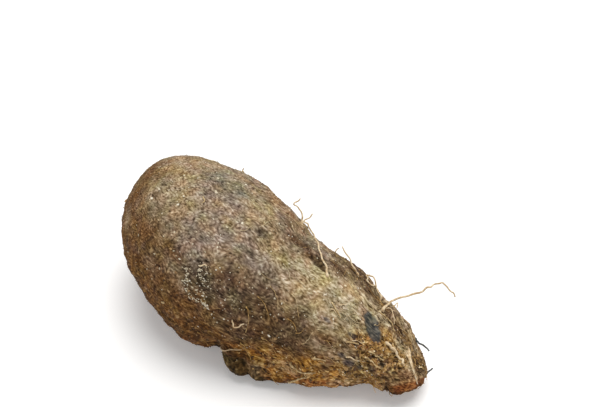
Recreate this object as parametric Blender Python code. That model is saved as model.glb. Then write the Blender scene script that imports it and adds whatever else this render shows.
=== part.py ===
"""A water yam tuber lying on its side, with its rootlets. Metres, +Z up.

The tuber lies along X, with its blunt end at -X and the crown, where the vine grew, at +X.
Its underside stands on Z = 0. A place on its skin is given by a station, 0 at the blunt end
and 1 at the crown, and by an angle round the long axis in degrees: 0 is the top, 90 is the
front at -Y, 180 is the underside and 270 is the back at +Y.
"""

import math
import random

import bmesh
import bpy
from mathutils import Matrix, Vector, noise

# Driving dimensions. The flat depth is how far the plain body reaches below the surface it lies on
LENGTH = 0.220
BELLY_RADIUS = 0.0515
CROWN_RADIUS = 0.0175
HEIGHT_TO_WIDTH = 0.95
CROWN_BEND = 0.004
BLUNT_END_BEND = 0.006
FLAT_DEPTH = 0.0010

# Stations between which the axis sinks to the crown, bends to the crown, and is bent at the blunt end
SINK_STATIONS = (0.15, 0.95)
CROWN_BEND_STATIONS = (0.45, 1.0)
BLUNT_BEND_STATIONS = (0.0, 0.4)
# The axis stays at least this share of the way up to the middle of the body's thickness
THICKNESS_SHARE = 0.45
THICKNESS_STATIONS = (0.06, 0.97)

# Width of the tuber at a few stations, as a share of the belly's radius, before the round ends
OUTLINE = (
    (0.00, 1.30),
    (0.12, 1.24),
    (0.30, 1.12),
    (0.45, 0.96),
    (0.60, 0.83),
    (0.72, 0.83),
    (0.85, 0.70),
    (1.00, 0.72),
)

# Broad forms of the body: station, angle, reach along, reach round in degrees, height
LOBES = {
    "blunt_end_back": (0.060, 330, 0.100, 50, 0.0050),
    "blunt_end_front": (0.080, 110, 0.090, 45, -0.0045),
    "belly_front": (0.370, 138, 0.075, 26, 0.0075),
    "toe": (0.505, 141, 0.038, 22, 0.0140),
    "keel": (0.620, 138, 0.115, 28, 0.0098),
    "neck_knob": (0.850, 312, 0.050, 34, 0.0035),
    "waist": (0.665, 75, 0.050, 50, -0.0020),
    "neck_waist": (0.885, 130, 0.060, 38, -0.0050),
    "shoulder_crease": (0.545, 322, 0.022, 34, -0.0032),
    "toe_crease": (0.435, 142, 0.014, 22, -0.0050),
    "eye": (0.478, 357, 0.014, 7, -0.0022),
    "scar": (0.975, 120, 0.030, 45, -0.0040),
    "under_belly": (0.370, 186, 0.130, 42, -0.0043),
    "under_toe": (0.540, 167, 0.070, 18, -0.0085),
    "under_keel": (0.680, 176, 0.150, 33, -0.0130),
    "under_crown": (0.900, 180, 0.060, 45, -0.0030),
}

# Relief of the skin: the size and height of its swells, its lumps and the knobs of its neck
SWELL_SIZE = 0.042
SWELL_HEIGHT = 0.0022
LUMP_SIZE = 0.014
LUMP_HEIGHT = 0.0007
NECK_LUMP_SIZE = 0.009
NECK_LUMP_HEIGHT = 0.0022
# Lengthwise wrinkles all round the body, which are full only on the neck
WRINKLE_COUNT = 19
WRINKLE_HEIGHT = 0.0007
WRINKLE_WANDER = 2.2
BELLY_WRINKLE_SHARE = 0.25
NECK_STATIONS = (0.62, 0.90)
# Below this share of the belly's radius the lobes and the relief fade towards the two ends
END_FADE_SHARE = 0.4

# Body mesh: steps along each edge of the cube that is rounded into the tuber
BODY_STEPS = 24

# How deep a rootlet's root is sunk in the body, and its tip's share of its thickness
ROOTLET_SUNK = 0.0035
TIP_SHARE = 0.6
WELD_DISTANCE = 0.00001
MM = 0.001

# The rootlets that stand out: thickness in mm, then places from root to tip as a station,
# an angle in degrees and a height over the skin in mm
ROOTLETS = {
    "shoulder_root": (1.5, (
        (0.678, 354, 0), (0.659, 346, 1.3), (0.637, 342, 1.5), (0.612, 334, 1.7), (0.590, 322, 1.9),
        (0.571, 321, 4.5), (0.550, 321, 8.0), (0.534, 321, 8.8), (0.545, 319, 15.0),
    )),
    "shoulder_hook": (1.4, (
        (0.509, 307, 0), (0.503, 307, 3.0), (0.485, 308, 4.9), (0.467, 309, 4.9), (0.477, 308, 10.0),
    )),
    "neck_hair": (1.4, ((0.719, 322, 0), (0.706, 321, 3.0), (0.689, 321, 5.0), (0.651, 320, 8.8))),
    "neck_whisker": (1.2, ((0.644, 315, 0), (0.636, 315, 2.8), (0.642, 314, 6.0))),
    "neck_loop": (1.3, ((0.742, 313, 0), (0.750, 312, 4.0), (0.763, 313, 5.4), (0.771, 319, 2.6))),
    "long_root": (1.6, (
        (0.828, 331, 0), (0.824, 313, 1.8), (0.830, 309, 4.2), (0.858, 306, 12.0), (0.886, 303, 22.5),
        (0.902, 302, 29.5), (0.915, 301, 37.0), (0.931, 299, 42.0), (0.952, 297, 44.0), (0.968, 293, 44.5),
    )),
    "long_root_branch": (1.2, ((0.829, 329, 0), (0.837, 320, 1.4), (0.855, 326, 1.4), (0.872, 334, 1.6))),
    "neck_hook": (1.1, ((0.838, 307, 0), (0.843, 308, 3.6), (0.851, 311, 2.8))),
    "crown_stub": (1.3, ((0.925, 305, 0), (0.950, 304, 3.2), (0.976, 300, 6.9))),
    "crown_tip_stub": (1.3, ((0.980, 283, 0), (0.994, 285, 3.5), (1.000, 287, 7.5))),
    "crown_wedge": (2.0, ((0.928, 356, 0), (0.946, 4, 1.4), (0.964, 16, 1.6), (0.984, 44, 1.8))),
    "crown_strand": (1.2, ((0.896, 13, 0), (0.922, 15, 1.5), (0.953, 16, 1.6))),
    "belly_curl": (1.3, ((0.511, 70, 0), (0.522, 73, 1.6), (0.535, 71, 1.6), (0.543, 66, 2.8))),
    "belly_scrap": (1.0, ((0.388, 45, 0), (0.397, 43, 1.4), (0.405, 42, 1.4))),
    "toe_thread": (1.1, ((0.477, 108, 0), (0.508, 103, 1.4), (0.541, 98, 1.4))),
    "keel_strand": (1.1, ((0.678, 91, 0), (0.712, 96, 1.4), (0.748, 89, 1.4))),
    "keel_thread": (1.1, ((0.672, 119, 0), (0.700, 109, 1.5), (0.727, 100, 1.5))),
    "neck_strand": (1.1, ((0.801, 57, 0), (0.826, 53, 1.4), (0.850, 50, 1.4))),
    "neck_scrap": (1.0, ((0.799, 38, 0), (0.812, 35, 1.4), (0.825, 33, 1.6))),
    "neck_thread": (1.1, ((0.726, 14, 0), (0.744, 17, 1.4), (0.762, 21, 1.4))),
    "shoulder_hair": (1.0, ((0.289, 306, 0), (0.288, 307, 1.8), (0.283, 307, 3.3))),
    "top_hair": (1.0, ((0.300, 4, 0), (0.306, 5, 1.4), (0.313, 8, 2.6))),
    "front_hair": (1.0, ((0.300, 88, 0), (0.306, 87, 1.3), (0.313, 84, 2.4))),
    "blunt_end_hair": (1.0, ((0.004, 60, 0), (-0.003, 62, 1.5), (-0.010, 66, 2.2))),
}

# The small rootlets, which grow closer together towards the crown. Thicknesses and heights over
# the skin are in mm, and the sway is in degrees from lengthwise
SMALL_COUNT = 48
SMALL_SEED = 7
SMALL_THICKNESS = (1.0, 1.3)
SMALL_LENGTH = (0.007, 0.015)
SMALL_STATIONS = (0.30, 0.965)
SMALL_HEIGHTS = (0.0, 1.6, 2.6, 4.2)
SMALL_SWAY = 60
# No small rootlet starts lower than this over the surface that the tuber lies on
ROOTS_KEEP_ABOVE = 0.008

SKIN_COLOUR = (0.215, 0.155, 0.095, 1)
SKIN_ROUGHNESS = 0.9


def clear_scene():
    for obj in list(bpy.data.objects):
        bpy.data.objects.remove(obj)


def ease(start, end, value):
    """0 before start, 1 after end, and a smooth step between."""
    share = min(1.0, max(0.0, (value - start) / (end - start)))
    return share * share * (3 - 2 * share)


def outline(station):
    """The outline's share of the belly's radius, smooth through its points."""
    last = len(OUTLINE) - 1
    index = next(i for i in range(1, last + 1) if station <= OUTLINE[i][0] or i == last)
    points = [OUTLINE[max(0, min(last, index + k))] for k in (-2, -1, 0, 1)]
    (_, before), (start, low), (end, high), (_, after) = points
    share = (station - start) / (end - start)
    bend_in = (high - before) / 2
    bend_out = (after - low) / 2
    square = share * share
    cube = square * share
    return (
        (2 * cube - 3 * square + 1) * low
        + (cube - 2 * square + share) * bend_in
        + (3 * square - 2 * cube) * high
        + (cube - square) * bend_out
    )


def plain_radius(station):
    """Radius of the tuber before its lobes and relief: round at both ends."""
    roundness = 2 * math.sqrt(max(0.0, station * (1 - station)))
    return BELLY_RADIUS * outline(station) * roundness


def axis_point(station):
    """The middle of the tuber at a station. The axis sinks towards the slim crown."""
    first, last = THICKNESS_STATIONS
    thickness = plain_radius(max(first, min(last, station)))
    drop = ease(*SINK_STATIONS, station)
    height = (1 - drop) * BELLY_RADIUS + drop * CROWN_RADIUS
    height = max(height, height + THICKNESS_SHARE * (thickness - height))
    bend = CROWN_BEND * ease(*CROWN_BEND_STATIONS, station)
    bend += BLUNT_END_BEND * (1 - ease(*BLUNT_BEND_STATIONS, station))
    return Vector(((station - 0.5) * LENGTH, bend, height * HEIGHT_TO_WIDTH - FLAT_DEPTH))


def outward(angle):
    """Unit vector away from the axis at an angle in degrees."""
    turn = math.radians(angle)
    return Vector((0, -math.sin(turn), math.cos(turn)))


def lobe_height(station, angle):
    total = 0.0
    for middle, turn, reach, spread, height in LOBES.values():
        apart = (angle - turn + 180) % 360 - 180
        total += height * math.exp(-(((station - middle) / reach) ** 2) - (apart / spread) ** 2)
    return total


def relief_height(point, station, angle):
    """Swells all over, and lumps and lengthwise wrinkles that grow towards the crown."""
    neck = ease(*NECK_STATIONS, station)
    swell = SWELL_HEIGHT * noise.noise(point / SWELL_SIZE)
    lump = LUMP_HEIGHT * noise.noise(point / LUMP_SIZE + Vector((7, 3, 1)))
    knobs = neck * NECK_LUMP_HEIGHT * noise.noise(point / NECK_LUMP_SIZE + Vector((2, 5, 9)))
    wander = WRINKLE_WANDER * noise.noise(Vector((station * 3, math.radians(angle), 4)))
    wrinkle = WRINKLE_HEIGHT * math.sin(WRINKLE_COUNT * math.radians(angle) + wander)
    wrinkle *= BELLY_WRINKLE_SHARE + (1 - BELLY_WRINKLE_SHARE) * neck
    return swell + lump + knobs + wrinkle


def skin_point(station, angle, lift=0.0):
    """The point on the skin at a station and an angle, or lift above it. Nothing is below Z = 0."""
    radius = plain_radius(station)
    flat = Vector((1, 1, HEIGHT_TO_WIDTH))
    base = axis_point(station) + radius * outward(angle) * flat
    share = ease(0.0, END_FADE_SHARE, radius / BELLY_RADIUS)
    height = share * (lobe_height(station, angle) + relief_height(base, station, angle))
    point = base + (height + lift) * outward(angle)
    point.z = max(point.z, 0.0)
    return point


def new_object(name, mesh, collection):
    obj = bpy.data.objects.new(name, mesh)
    collection.objects.link(obj)
    return obj


def make_body(collection):
    """A cube rounded into a ball, whose points are then moved onto the skin."""
    grid = bmesh.new()
    bmesh.ops.create_cube(grid, size=2)
    bmesh.ops.subdivide_edges(grid, edges=grid.edges[:], cuts=BODY_STEPS - 1, use_grid_fill=True)
    for vert in grid.verts:
        on_ball = Vector(math.tan(c * math.pi / 4) for c in vert.co).normalized()
        station = (1 + on_ball.x) / 2
        angle = math.degrees(math.atan2(-on_ball.y, on_ball.z))
        vert.co = skin_point(station, angle)
    bmesh.ops.triangulate(grid, faces=grid.faces[:])
    mesh = bpy.data.meshes.new("tuber")
    grid.to_mesh(mesh)
    grid.free()
    mesh.shade_smooth()
    return new_object("tuber", mesh, collection)


def small_rootlets():
    """A thickness and places for each small rootlet, in the form that ROOTLETS has."""
    draw = random.Random(SMALL_SEED)
    first, last = SMALL_STATIONS
    steps = len(SMALL_HEIGHTS) - 1
    made = []
    while len(made) < SMALL_COUNT:
        station = first + (last - first) * draw.random() ** 0.5
        angle = draw.uniform(0, 360)
        thickness = draw.uniform(*SMALL_THICKNESS)
        length = draw.uniform(*SMALL_LENGTH)
        heading = math.radians(draw.gauss(0, SMALL_SWAY))
        rise = draw.uniform(0.6, 1.4)
        along = length * math.cos(heading) / LENGTH
        turn = math.degrees(length * math.sin(heading) / plain_radius(station))
        if skin_point(station, angle).z < ROOTS_KEEP_ABOVE:
            continue
        places = []
        for i in range(steps + 1):
            share = i / steps
            places.append((station + along * share, angle + turn * share**2, rise * SMALL_HEIGHTS[i]))
        made.append((thickness, places))
    return made


def make_rootlet(name, thickness, places, collection):
    """A four-sided tapered tube along its places, with its root sunk in the skin."""
    station, angle, _ = places[0]
    points = [skin_point(station, angle, -ROOTLET_SUNK)]
    points += [skin_point(s, a, height * MM) for s, a, height in places[1:]]
    curve = bpy.data.curves.new(name, "CURVE")
    curve.dimensions = "3D"
    curve.bevel_depth = thickness * MM / 2
    curve.bevel_resolution = 0
    curve.use_fill_caps = True
    spline = curve.splines.new("POLY")
    spline.points.add(len(points) - 1)
    for i, point in enumerate(points):
        spline.points[i].co = (*point, 1)
        spline.points[i].radius = 1 - (1 - TIP_SHARE) * i / (len(points) - 1)
    guide = new_object(name + "_curve", curve, collection)
    graph = bpy.context.evaluated_depsgraph_get()
    mesh = bpy.data.meshes.new_from_object(guide.evaluated_get(graph))
    weld = bmesh.new()
    weld.from_mesh(mesh)
    bmesh.ops.remove_doubles(weld, verts=weld.verts[:], dist=WELD_DISTANCE)
    weld.to_mesh(mesh)
    weld.free()
    rootlet = new_object(name, mesh, collection)
    rootlet.matrix_world = guide.matrix_world
    bpy.data.objects.remove(guide)
    return rootlet


def fuse(body, collection):
    """Joins a collection's objects to the body in one Boolean union, then removes them."""
    union = body.modifiers.new("rootlets", "BOOLEAN")
    union.operation = "UNION"
    union.operand_type = "COLLECTION"
    union.collection = collection
    union.solver = "EXACT"
    graph = bpy.context.evaluated_depsgraph_get()
    joined = bpy.data.meshes.new_from_object(body.evaluated_get(graph))
    body.modifiers.clear()
    body.data = joined
    joined.name = body.name
    for obj in list(collection.objects):
        bpy.data.objects.remove(obj)
    bpy.data.collections.remove(collection)


def centre(body):
    """Puts the origin under the middle of the tuber's box, on the surface that it rests on."""
    corners = [Vector(corner) for corner in body.bound_box]
    middle = sum(corners, Vector()) / len(corners)
    lowest = min(corner.z for corner in corners)
    body.data.transform(Matrix.Translation((-middle.x, -middle.y, -lowest)))


def skin_material():
    material = bpy.data.materials.new("corky_skin")
    material.use_nodes = True
    shader = material.node_tree.nodes["Principled BSDF"]
    shader.inputs["Base Color"].default_value = SKIN_COLOUR
    shader.inputs["Roughness"].default_value = SKIN_ROUGHNESS
    shader.inputs["Metallic"].default_value = 0.0
    return material


def main():
    clear_scene()
    collection = bpy.data.collections.new("water_yam")
    rootlets = bpy.data.collections.new("rootlets")
    bpy.context.scene.collection.children.link(collection)
    bpy.context.scene.collection.children.link(rootlets)
    tuber = make_body(collection)
    for name, (thickness, places) in ROOTLETS.items():
        make_rootlet(name, thickness, places, rootlets)
    for number, (thickness, places) in enumerate(small_rootlets(), 1):
        make_rootlet(f"small_rootlet_{number:02d}", thickness, places, rootlets)
    fuse(tuber, rootlets)
    centre(tuber)
    tuber.data.materials.clear()
    tuber.data.materials.append(skin_material())


main()
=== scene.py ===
# %% [markdown]
# # A water yam, from a plain solid to a finished tuber
#
# A water yam is the swollen root tuber of a climbing plant. It grows in soil as one piece, so
# its solid is one piece too: a body with a blunt end, a slim crown where the vine grew, and the
# dry rootlets that are fused to its skin. The solid has the right size and the broad forms.
#
# What is missing is what grew and dried on it: a corky skin that cracked into fine scales, the
# lengthwise wrinkles of the neck, fibres, grit and soil. This lesson makes them. It starts by
# loading the solid as a fixed frame, which gives every size below.

# %% Load the solid
import math
import random

import bmesh
import bpy
import numpy as np
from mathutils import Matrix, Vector, noise
from mathutils.bvhtree import BVHTree


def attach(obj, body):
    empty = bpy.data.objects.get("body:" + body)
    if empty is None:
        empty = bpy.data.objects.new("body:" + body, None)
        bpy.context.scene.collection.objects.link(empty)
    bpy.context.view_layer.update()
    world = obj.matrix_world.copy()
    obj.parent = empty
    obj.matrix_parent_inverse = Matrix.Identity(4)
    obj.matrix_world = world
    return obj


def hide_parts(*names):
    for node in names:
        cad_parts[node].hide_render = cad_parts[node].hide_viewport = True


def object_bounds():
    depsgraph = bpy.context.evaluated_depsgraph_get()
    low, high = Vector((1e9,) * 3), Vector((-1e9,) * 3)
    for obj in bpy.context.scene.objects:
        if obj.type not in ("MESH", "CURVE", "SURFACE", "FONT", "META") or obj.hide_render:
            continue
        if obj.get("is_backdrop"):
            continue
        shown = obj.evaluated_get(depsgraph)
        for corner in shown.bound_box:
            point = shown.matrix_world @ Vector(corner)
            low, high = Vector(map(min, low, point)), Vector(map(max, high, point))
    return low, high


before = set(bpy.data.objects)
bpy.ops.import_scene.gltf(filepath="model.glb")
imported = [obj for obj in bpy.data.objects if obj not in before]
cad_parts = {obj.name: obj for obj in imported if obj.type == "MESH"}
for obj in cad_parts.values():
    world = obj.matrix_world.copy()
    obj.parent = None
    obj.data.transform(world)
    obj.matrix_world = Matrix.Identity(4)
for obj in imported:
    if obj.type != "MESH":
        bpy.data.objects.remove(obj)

MM = 0.001

bpy.ops.object.select_all(action="DESELECT")
cad_low, cad_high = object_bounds()
print("the solid is", [round(size / MM, 1) for size in cad_high - cad_low], "mm")

# %% [markdown]
# ## The studio
#
# The camera looks down on the crown's side from about 48 degrees. A lens of 70 mm from 0.7 m
# away keeps the near end from looking too large. The light is what a plain product photo has: a
# wide soft light from above and behind, and pale surroundings that fill the shadows. A sun
# with a wide angle is such a light, and unlike a lamp close by it is as strong at both ends of
# the tuber. The floor is a light table that glows a little, which keeps the shadow on it pale.
# Standard view keeps the colours as they are chosen.

# %% Camera
CAMERA_AZIMUTH = 32
CAMERA_ELEVATION = 48
CAMERA_DISTANCE = 0.725
CAMERA_LENS = 70
CAMERA_AIM = Vector((-0.0042, 0.0387, 0.0748))


def direction(azimuth, elevation):
    """Unit vector towards a place in the sky. Azimuth 0 is towards -Y and 90 is towards +X."""
    turn = math.radians(azimuth)
    rise = math.radians(elevation)
    level = math.cos(rise)
    return Vector((math.sin(turn) * level, -math.cos(turn) * level, math.sin(rise)))


def look_from(obj, where, distance, aim):
    """Puts a camera or a light that far from what it is aimed at."""
    obj.location = aim + where * distance
    obj.rotation_euler = (-where).to_track_quat("-Z", "Y").to_euler()


bpy.ops.object.camera_add()
camera = bpy.context.object
camera.name = "camera"
camera.data.lens = CAMERA_LENS
look_from(camera, direction(CAMERA_AZIMUTH, CAMERA_ELEVATION), CAMERA_DISTANCE, CAMERA_AIM)
bpy.context.scene.camera = camera
print("camera at", [round(c, 3) for c in camera.location])


# %% Colours and materials
def linear(code):
    """The linear colour of an sRGB hex code such as #8c7b66, with full opacity."""
    shares = [int(code[i : i + 2], 16) / 255 for i in (1, 3, 5)]
    return (*[s / 12.92 if s <= 0.04045 else ((s + 0.055) / 1.055) ** 2.4 for s in shares], 1.0)


def new_material(name):
    """A material with an empty Principled BSDF, and its node tree."""
    material = bpy.data.materials.new(name)
    material.use_nodes = True
    return material, material.node_tree, material.node_tree.nodes["Principled BSDF"]


print("mid grey is", round(linear("#808080")[0], 3), "in linear light")

# %% Floor and lights
FLOOR_SIZE = 8.0
# The tuber's flat spots lie on Z = 0, so the floor is a hair lower
FLOOR_DROP = 0.1 * MM
FLOOR_COLOUR = "#f6f6f6"
FLOOR_GLOW = 0.2
KEY_AZIMUTH = 190
KEY_ELEVATION = 74
KEY_STRENGTH = 2.4
KEY_SOFTNESS = math.radians(45)
KEY_COLOUR = "#fffefc"
FILL_COLOUR = "#ffffff"
FILL_STRENGTH = 0.42

bpy.ops.mesh.primitive_plane_add(size=FLOOR_SIZE, location=(0, 0, -FLOOR_DROP))
floor = bpy.context.object
floor.name = "floor"
floor_material, _, floor_shader = new_material("matt_white_board")
floor_shader.inputs["Base Color"].default_value = linear(FLOOR_COLOUR)
floor_shader.inputs["Roughness"].default_value = 1.0
floor_shader.inputs["Emission Color"].default_value = linear(FLOOR_COLOUR)
floor_shader.inputs["Emission Strength"].default_value = FLOOR_GLOW
floor.data.materials.append(floor_material)
floor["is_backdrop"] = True

bpy.ops.object.light_add(type="SUN")
key = bpy.context.object
key.name = "key_light"
key.data.energy = KEY_STRENGTH
key.data.angle = KEY_SOFTNESS
key.data.color = linear(KEY_COLOUR)[:3]
look_from(key, direction(KEY_AZIMUTH, KEY_ELEVATION), 1.0, Vector())

world = bpy.data.worlds.new("pale_studio")
bpy.context.scene.world = world
world.use_nodes = True
backdrop = world.node_tree.nodes["Background"]
backdrop.inputs["Color"].default_value = linear(FILL_COLOUR)
backdrop.inputs["Strength"].default_value = FILL_STRENGTH
bpy.context.scene.view_settings.view_transform = "Standard"
print("floor, key light and fill are in place")

# %% [markdown]
# ## Places on the skin
#
# A place on a tuber is easy to name by how far along it is and how far round. The station is 0
# at the blunt end and 1 at the crown. The angle is 0 on top, 90 at the front, 180 underneath and
# 270 at the back. The solid was drawn from the same few numbers, so the skin, the rootlets and
# the patches all land where the solid has them.

# %% The tuber's own numbers
LENGTH = 0.220
BELLY_RADIUS = 0.0515
CROWN_RADIUS = 0.0175
HEIGHT_TO_WIDTH = 0.95
CROWN_BEND = 0.004
BLUNT_END_BEND = 0.006
FLAT_DEPTH = 0.0010
# The solid was centred on its box, which moved it this far
CENTRING = Vector((0.00029, -0.00244, 0))

SINK_STATIONS = (0.15, 0.95)
CROWN_BEND_STATIONS = (0.45, 1.0)
BLUNT_BEND_STATIONS = (0.0, 0.4)
THICKNESS_SHARE = 0.45
THICKNESS_STATIONS = (0.06, 0.97)
NECK_STATIONS = (0.62, 0.90)

# Width at a few stations, as a share of the belly's radius, before the round ends
OUTLINE = (
    (0, 1.3), (0.12, 1.24), (0.3, 1.12), (0.45, 0.96), (0.6, 0.83), (0.72, 0.83), (0.85, 0.7),
    (1, 0.72),
)
print("the body is", round(LENGTH / MM), "mm long, and", HEIGHT_TO_WIDTH, "as high as wide")


# %% Its outline and its axis
def ease(start, end, value):
    """0 before start, 1 after end, and a smooth step between. The value may be an array."""
    share = np.clip((value - start) / (end - start), 0, 1)
    return share * share * (3 - 2 * share)


def outline(station):
    """The outline's share of the belly's radius, smooth through its points."""
    last = len(OUTLINE) - 1
    index = next(i for i in range(1, last + 1) if station <= OUTLINE[i][0] or i == last)
    points = [OUTLINE[max(0, min(last, index + k))] for k in (-2, -1, 0, 1)]
    (_, before), (start, low), (end, high), (_, after) = points
    share = (station - start) / (end - start)
    bend_in = (high - before) / 2
    bend_out = (after - low) / 2
    square = share * share
    cube = square * share
    return (
        (2 * cube - 3 * square + 1) * low
        + (cube - 2 * square + share) * bend_in
        + (3 * square - 2 * cube) * high
        + (cube - square) * bend_out
    )


def plain_radius(station):
    """Radius of the tuber without its lobes: round at both ends."""
    roundness = 2 * math.sqrt(max(0.0, station * (1 - station)))
    return BELLY_RADIUS * outline(station) * roundness


def axis_point(station):
    """The middle of the tuber at a station. The axis sinks towards the slim crown."""
    first, last = THICKNESS_STATIONS
    thickness = plain_radius(max(first, min(last, station)))
    drop = ease(*SINK_STATIONS, station)
    height = (1 - drop) * BELLY_RADIUS + drop * CROWN_RADIUS
    height = max(height, height + THICKNESS_SHARE * (thickness - height))
    bend = CROWN_BEND * ease(*CROWN_BEND_STATIONS, station)
    bend += BLUNT_END_BEND * (1 - ease(*BLUNT_BEND_STATIONS, station))
    middle = Vector(((station - 0.5) * LENGTH, bend, height * HEIGHT_TO_WIDTH - FLAT_DEPTH))
    return middle + CENTRING


def outward(angle):
    """Unit vector away from the axis at an angle in degrees."""
    turn = math.radians(angle)
    return Vector((0, -math.sin(turn), math.cos(turn)))


for share in (0.2, 0.5, 0.8):
    print("station", share, "has a plain radius of", round(plain_radius(share) / MM, 1), "mm")

# %% [markdown]
# ## The skin's mesh
#
# The skin could be a copy of the solid with a Subdivision Surface. That would keep the solid's
# flat facets as soft dents, and the rootlets would leave scars. A cube that is cut into a fine
# grid and rounded into a ball has no crowded poles, and its even squares carry the fine cracks
# equally well everywhere. The tuber is twice as long as it is thick, so the cube gets twice as
# many cuts lengthwise.
#
# Each point of the ball then goes along a ray from the tuber's axis to the solid's surface, and a
# Smooth modifier takes out the facets.

# %% A cube, cut and rounded
# Cells along each half of the cube's length, and across it: about 0.8 mm on the tuber
SKIN_CELLS = 98
# The rays start on the axis between these shares of the length, and fan out at the two ends
RAY_START_SHARE = 0.62
FACET_SMOOTHING = 30


def cut_cube(name):
    """A cube whose faces are a fine grid, with as many cells again along X."""
    bpy.ops.mesh.primitive_cube_add(size=2)
    cube = bpy.context.object
    cube.name = name
    bpy.ops.object.mode_set(mode="EDIT")
    bpy.ops.mesh.select_mode(type="EDGE")
    grid = bmesh.from_edit_mesh(cube.data)
    for edge in grid.edges:
        along = edge.verts[0].co - edge.verts[1].co
        edge.select_set(abs(along.x) > abs(along.y) + abs(along.z))
    bmesh.update_edit_mesh(cube.data)
    bpy.ops.mesh.subdivide(number_cuts=1)
    bpy.ops.mesh.select_all(action="SELECT")
    bpy.ops.mesh.subdivide(number_cuts=SKIN_CELLS - 1)
    bpy.ops.object.mode_set(mode="OBJECT")
    return cube


def read_points(mesh, what="co"):
    """The mesh's points, or their normals, as rows of an array."""
    rows = np.empty(len(mesh.vertices) * 3)
    source = mesh.vertices if what == "co" else mesh.vertex_normals
    source.foreach_get("co" if what == "co" else "vector", rows)
    return rows.reshape(-1, 3)


def write_points(mesh, rows):
    mesh.vertices.foreach_set("co", rows.astype(np.float32).ravel())
    mesh.update()


skin = cut_cube("skin")
print("the cube has", len(skin.data.vertices), "points")


# %% Laid on the solid
def table(function, count=400):
    """A function's values at even stations, and a way to look it up for an array of stations."""
    stations = np.linspace(0, 1, count)
    values = np.array([function(s) for s in stations])
    if values.ndim == 1:
        return lambda wanted: np.interp(wanted, stations, values)
    return lambda wanted: np.column_stack([np.interp(wanted, stations, row) for row in values.T])


axis_at = table(axis_point)
outline_at = table(outline)


def ball_places(mesh):
    """The station and the angle, in radians, of each point of the cube when it is made a ball."""
    ball = np.tan(read_points(mesh) * math.pi / 4)
    ball /= np.linalg.norm(ball, axis=1, keepdims=True)
    return (1 + ball[:, 0]) / 2, np.arctan2(-ball[:, 1], ball[:, 2])


def lay_on(mesh, solid):
    """Moves the ball's points along rays from the axis to the solid's surface."""
    station, turn = ball_places(mesh)
    roundness = 2 * np.sqrt(np.clip(station * (1 - station), 0, 1))
    radius = BELLY_RADIUS * outline_at(station) * roundness
    away = np.column_stack((np.zeros_like(turn), -np.sin(turn), np.cos(turn)))
    target = axis_at(station) + radius[:, None] * away
    start = axis_at(0.5 + (station - 0.5) * RAY_START_SHARE)
    surface = BVHTree.FromObject(solid, bpy.context.evaluated_depsgraph_get())
    missed = 0
    for i, (begin, end) in enumerate(zip(start, target)):
        hit = surface.ray_cast(Vector(begin), Vector(end - begin))[0]
        if hit is None:
            hit = surface.find_nearest(Vector(end))[0]
            missed += 1
        target[i] = hit
    write_points(mesh, target)
    return missed


def apply_modifier(obj, kind, **settings):
    """Adds a modifier, sets it and applies it."""
    modifier = obj.modifiers.new(kind.lower(), kind)
    for name, value in settings.items():
        setattr(modifier, name, value)
    bpy.context.view_layer.objects.active = obj
    bpy.ops.object.modifier_apply(modifier=modifier.name)


print(lay_on(skin.data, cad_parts["tuber"]), "rays missed the solid")
apply_modifier(skin, "SMOOTH", factor=0.5, iterations=FACET_SMOOTHING)
skin.data.shade_smooth()

# %% [markdown]
# ## Relief
#
# Yam skin is a thin layer of cork. As the tuber swells, the cork cracks into scales of 2 to 3 mm
# with dark gaps between them. Towards the crown it dries and shrinks into lengthwise wrinkles.
# A bump pattern alone would leave the outline smooth, so the relief is real: each point of the
# skin moves along its normal by a sum of random lumps, each with a size and a height in mm. To
# place the lumps, each point first needs to know where on the tuber it is.

# %% Where each point of the skin is
# The poles are where the skin is this close to the axis, as shares of the width
POLE_SHARES = (0.45, 0.20)

points = read_points(skin.data)
normals = read_points(skin.data, "normal")
station = np.clip((points[:, 0] - CENTRING.x) / LENGTH + 0.5, 0, 1)
from_axis = points - axis_at(station)
turn = np.arctan2(-from_axis[:, 1], from_axis[:, 2])
reach = np.hypot(from_axis[:, 1], from_axis[:, 2])
neck = ease(*NECK_STATIONS, station)
# Flow is the way that the cork is drawn out: along the lines that run from end to end. The
# tuber's width without its round ends keeps a pattern as wide at the ends as in the middle
arc = LENGTH / 2 * np.arccos(1 - 2 * station)
width = BELLY_RADIUS * outline_at(station)
flow = np.column_stack((arc, width * np.cos(turn), width * np.sin(turn)))
pole = ease(*POLE_SHARES, reach / width)
print("the skin is", round(reach.max() / MM, 1), "mm from the axis at most")

# %% Random patterns
# Patterns with different seeds are read this far apart, in lumps
SEED_STEP = 17.3


def in_lumps(where, size, seed, stretch):
    """Places as a pattern reads them: one lump long, and drawn out lengthwise by a stretch."""
    return (where / (size * np.array((stretch, 1, 1))) + seed * SEED_STEP).tolist()


def field(where, size, seed, stretch=1.0):
    """Smooth random values from -1 to 1, in lumps of that size."""
    return np.array([noise.noise(place) for place in in_lumps(where, size, seed, stretch)])


def scales(where, size, seed, stretch=1.0):
    """0 in the cracks between cells of that size, and rising to about 1 in their middles."""
    found = [noise.voronoi(place)[0] for place in in_lumps(where, size, seed, stretch)]
    nearest = np.array([distances[:2] for distances in found])
    return nearest[:, 1] - nearest[:, 0]


def drawn_field(size, seed, stretch):
    """A field that follows the flow, and turns into plain lumps at the two poles."""
    return (1 - pole) * field(flow, size, seed, stretch) + pole * field(points, size, seed)


print("cells of 1 mm are up to", round(scales(points[:999], MM, seed=0).max(), 2), "high")
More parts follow.
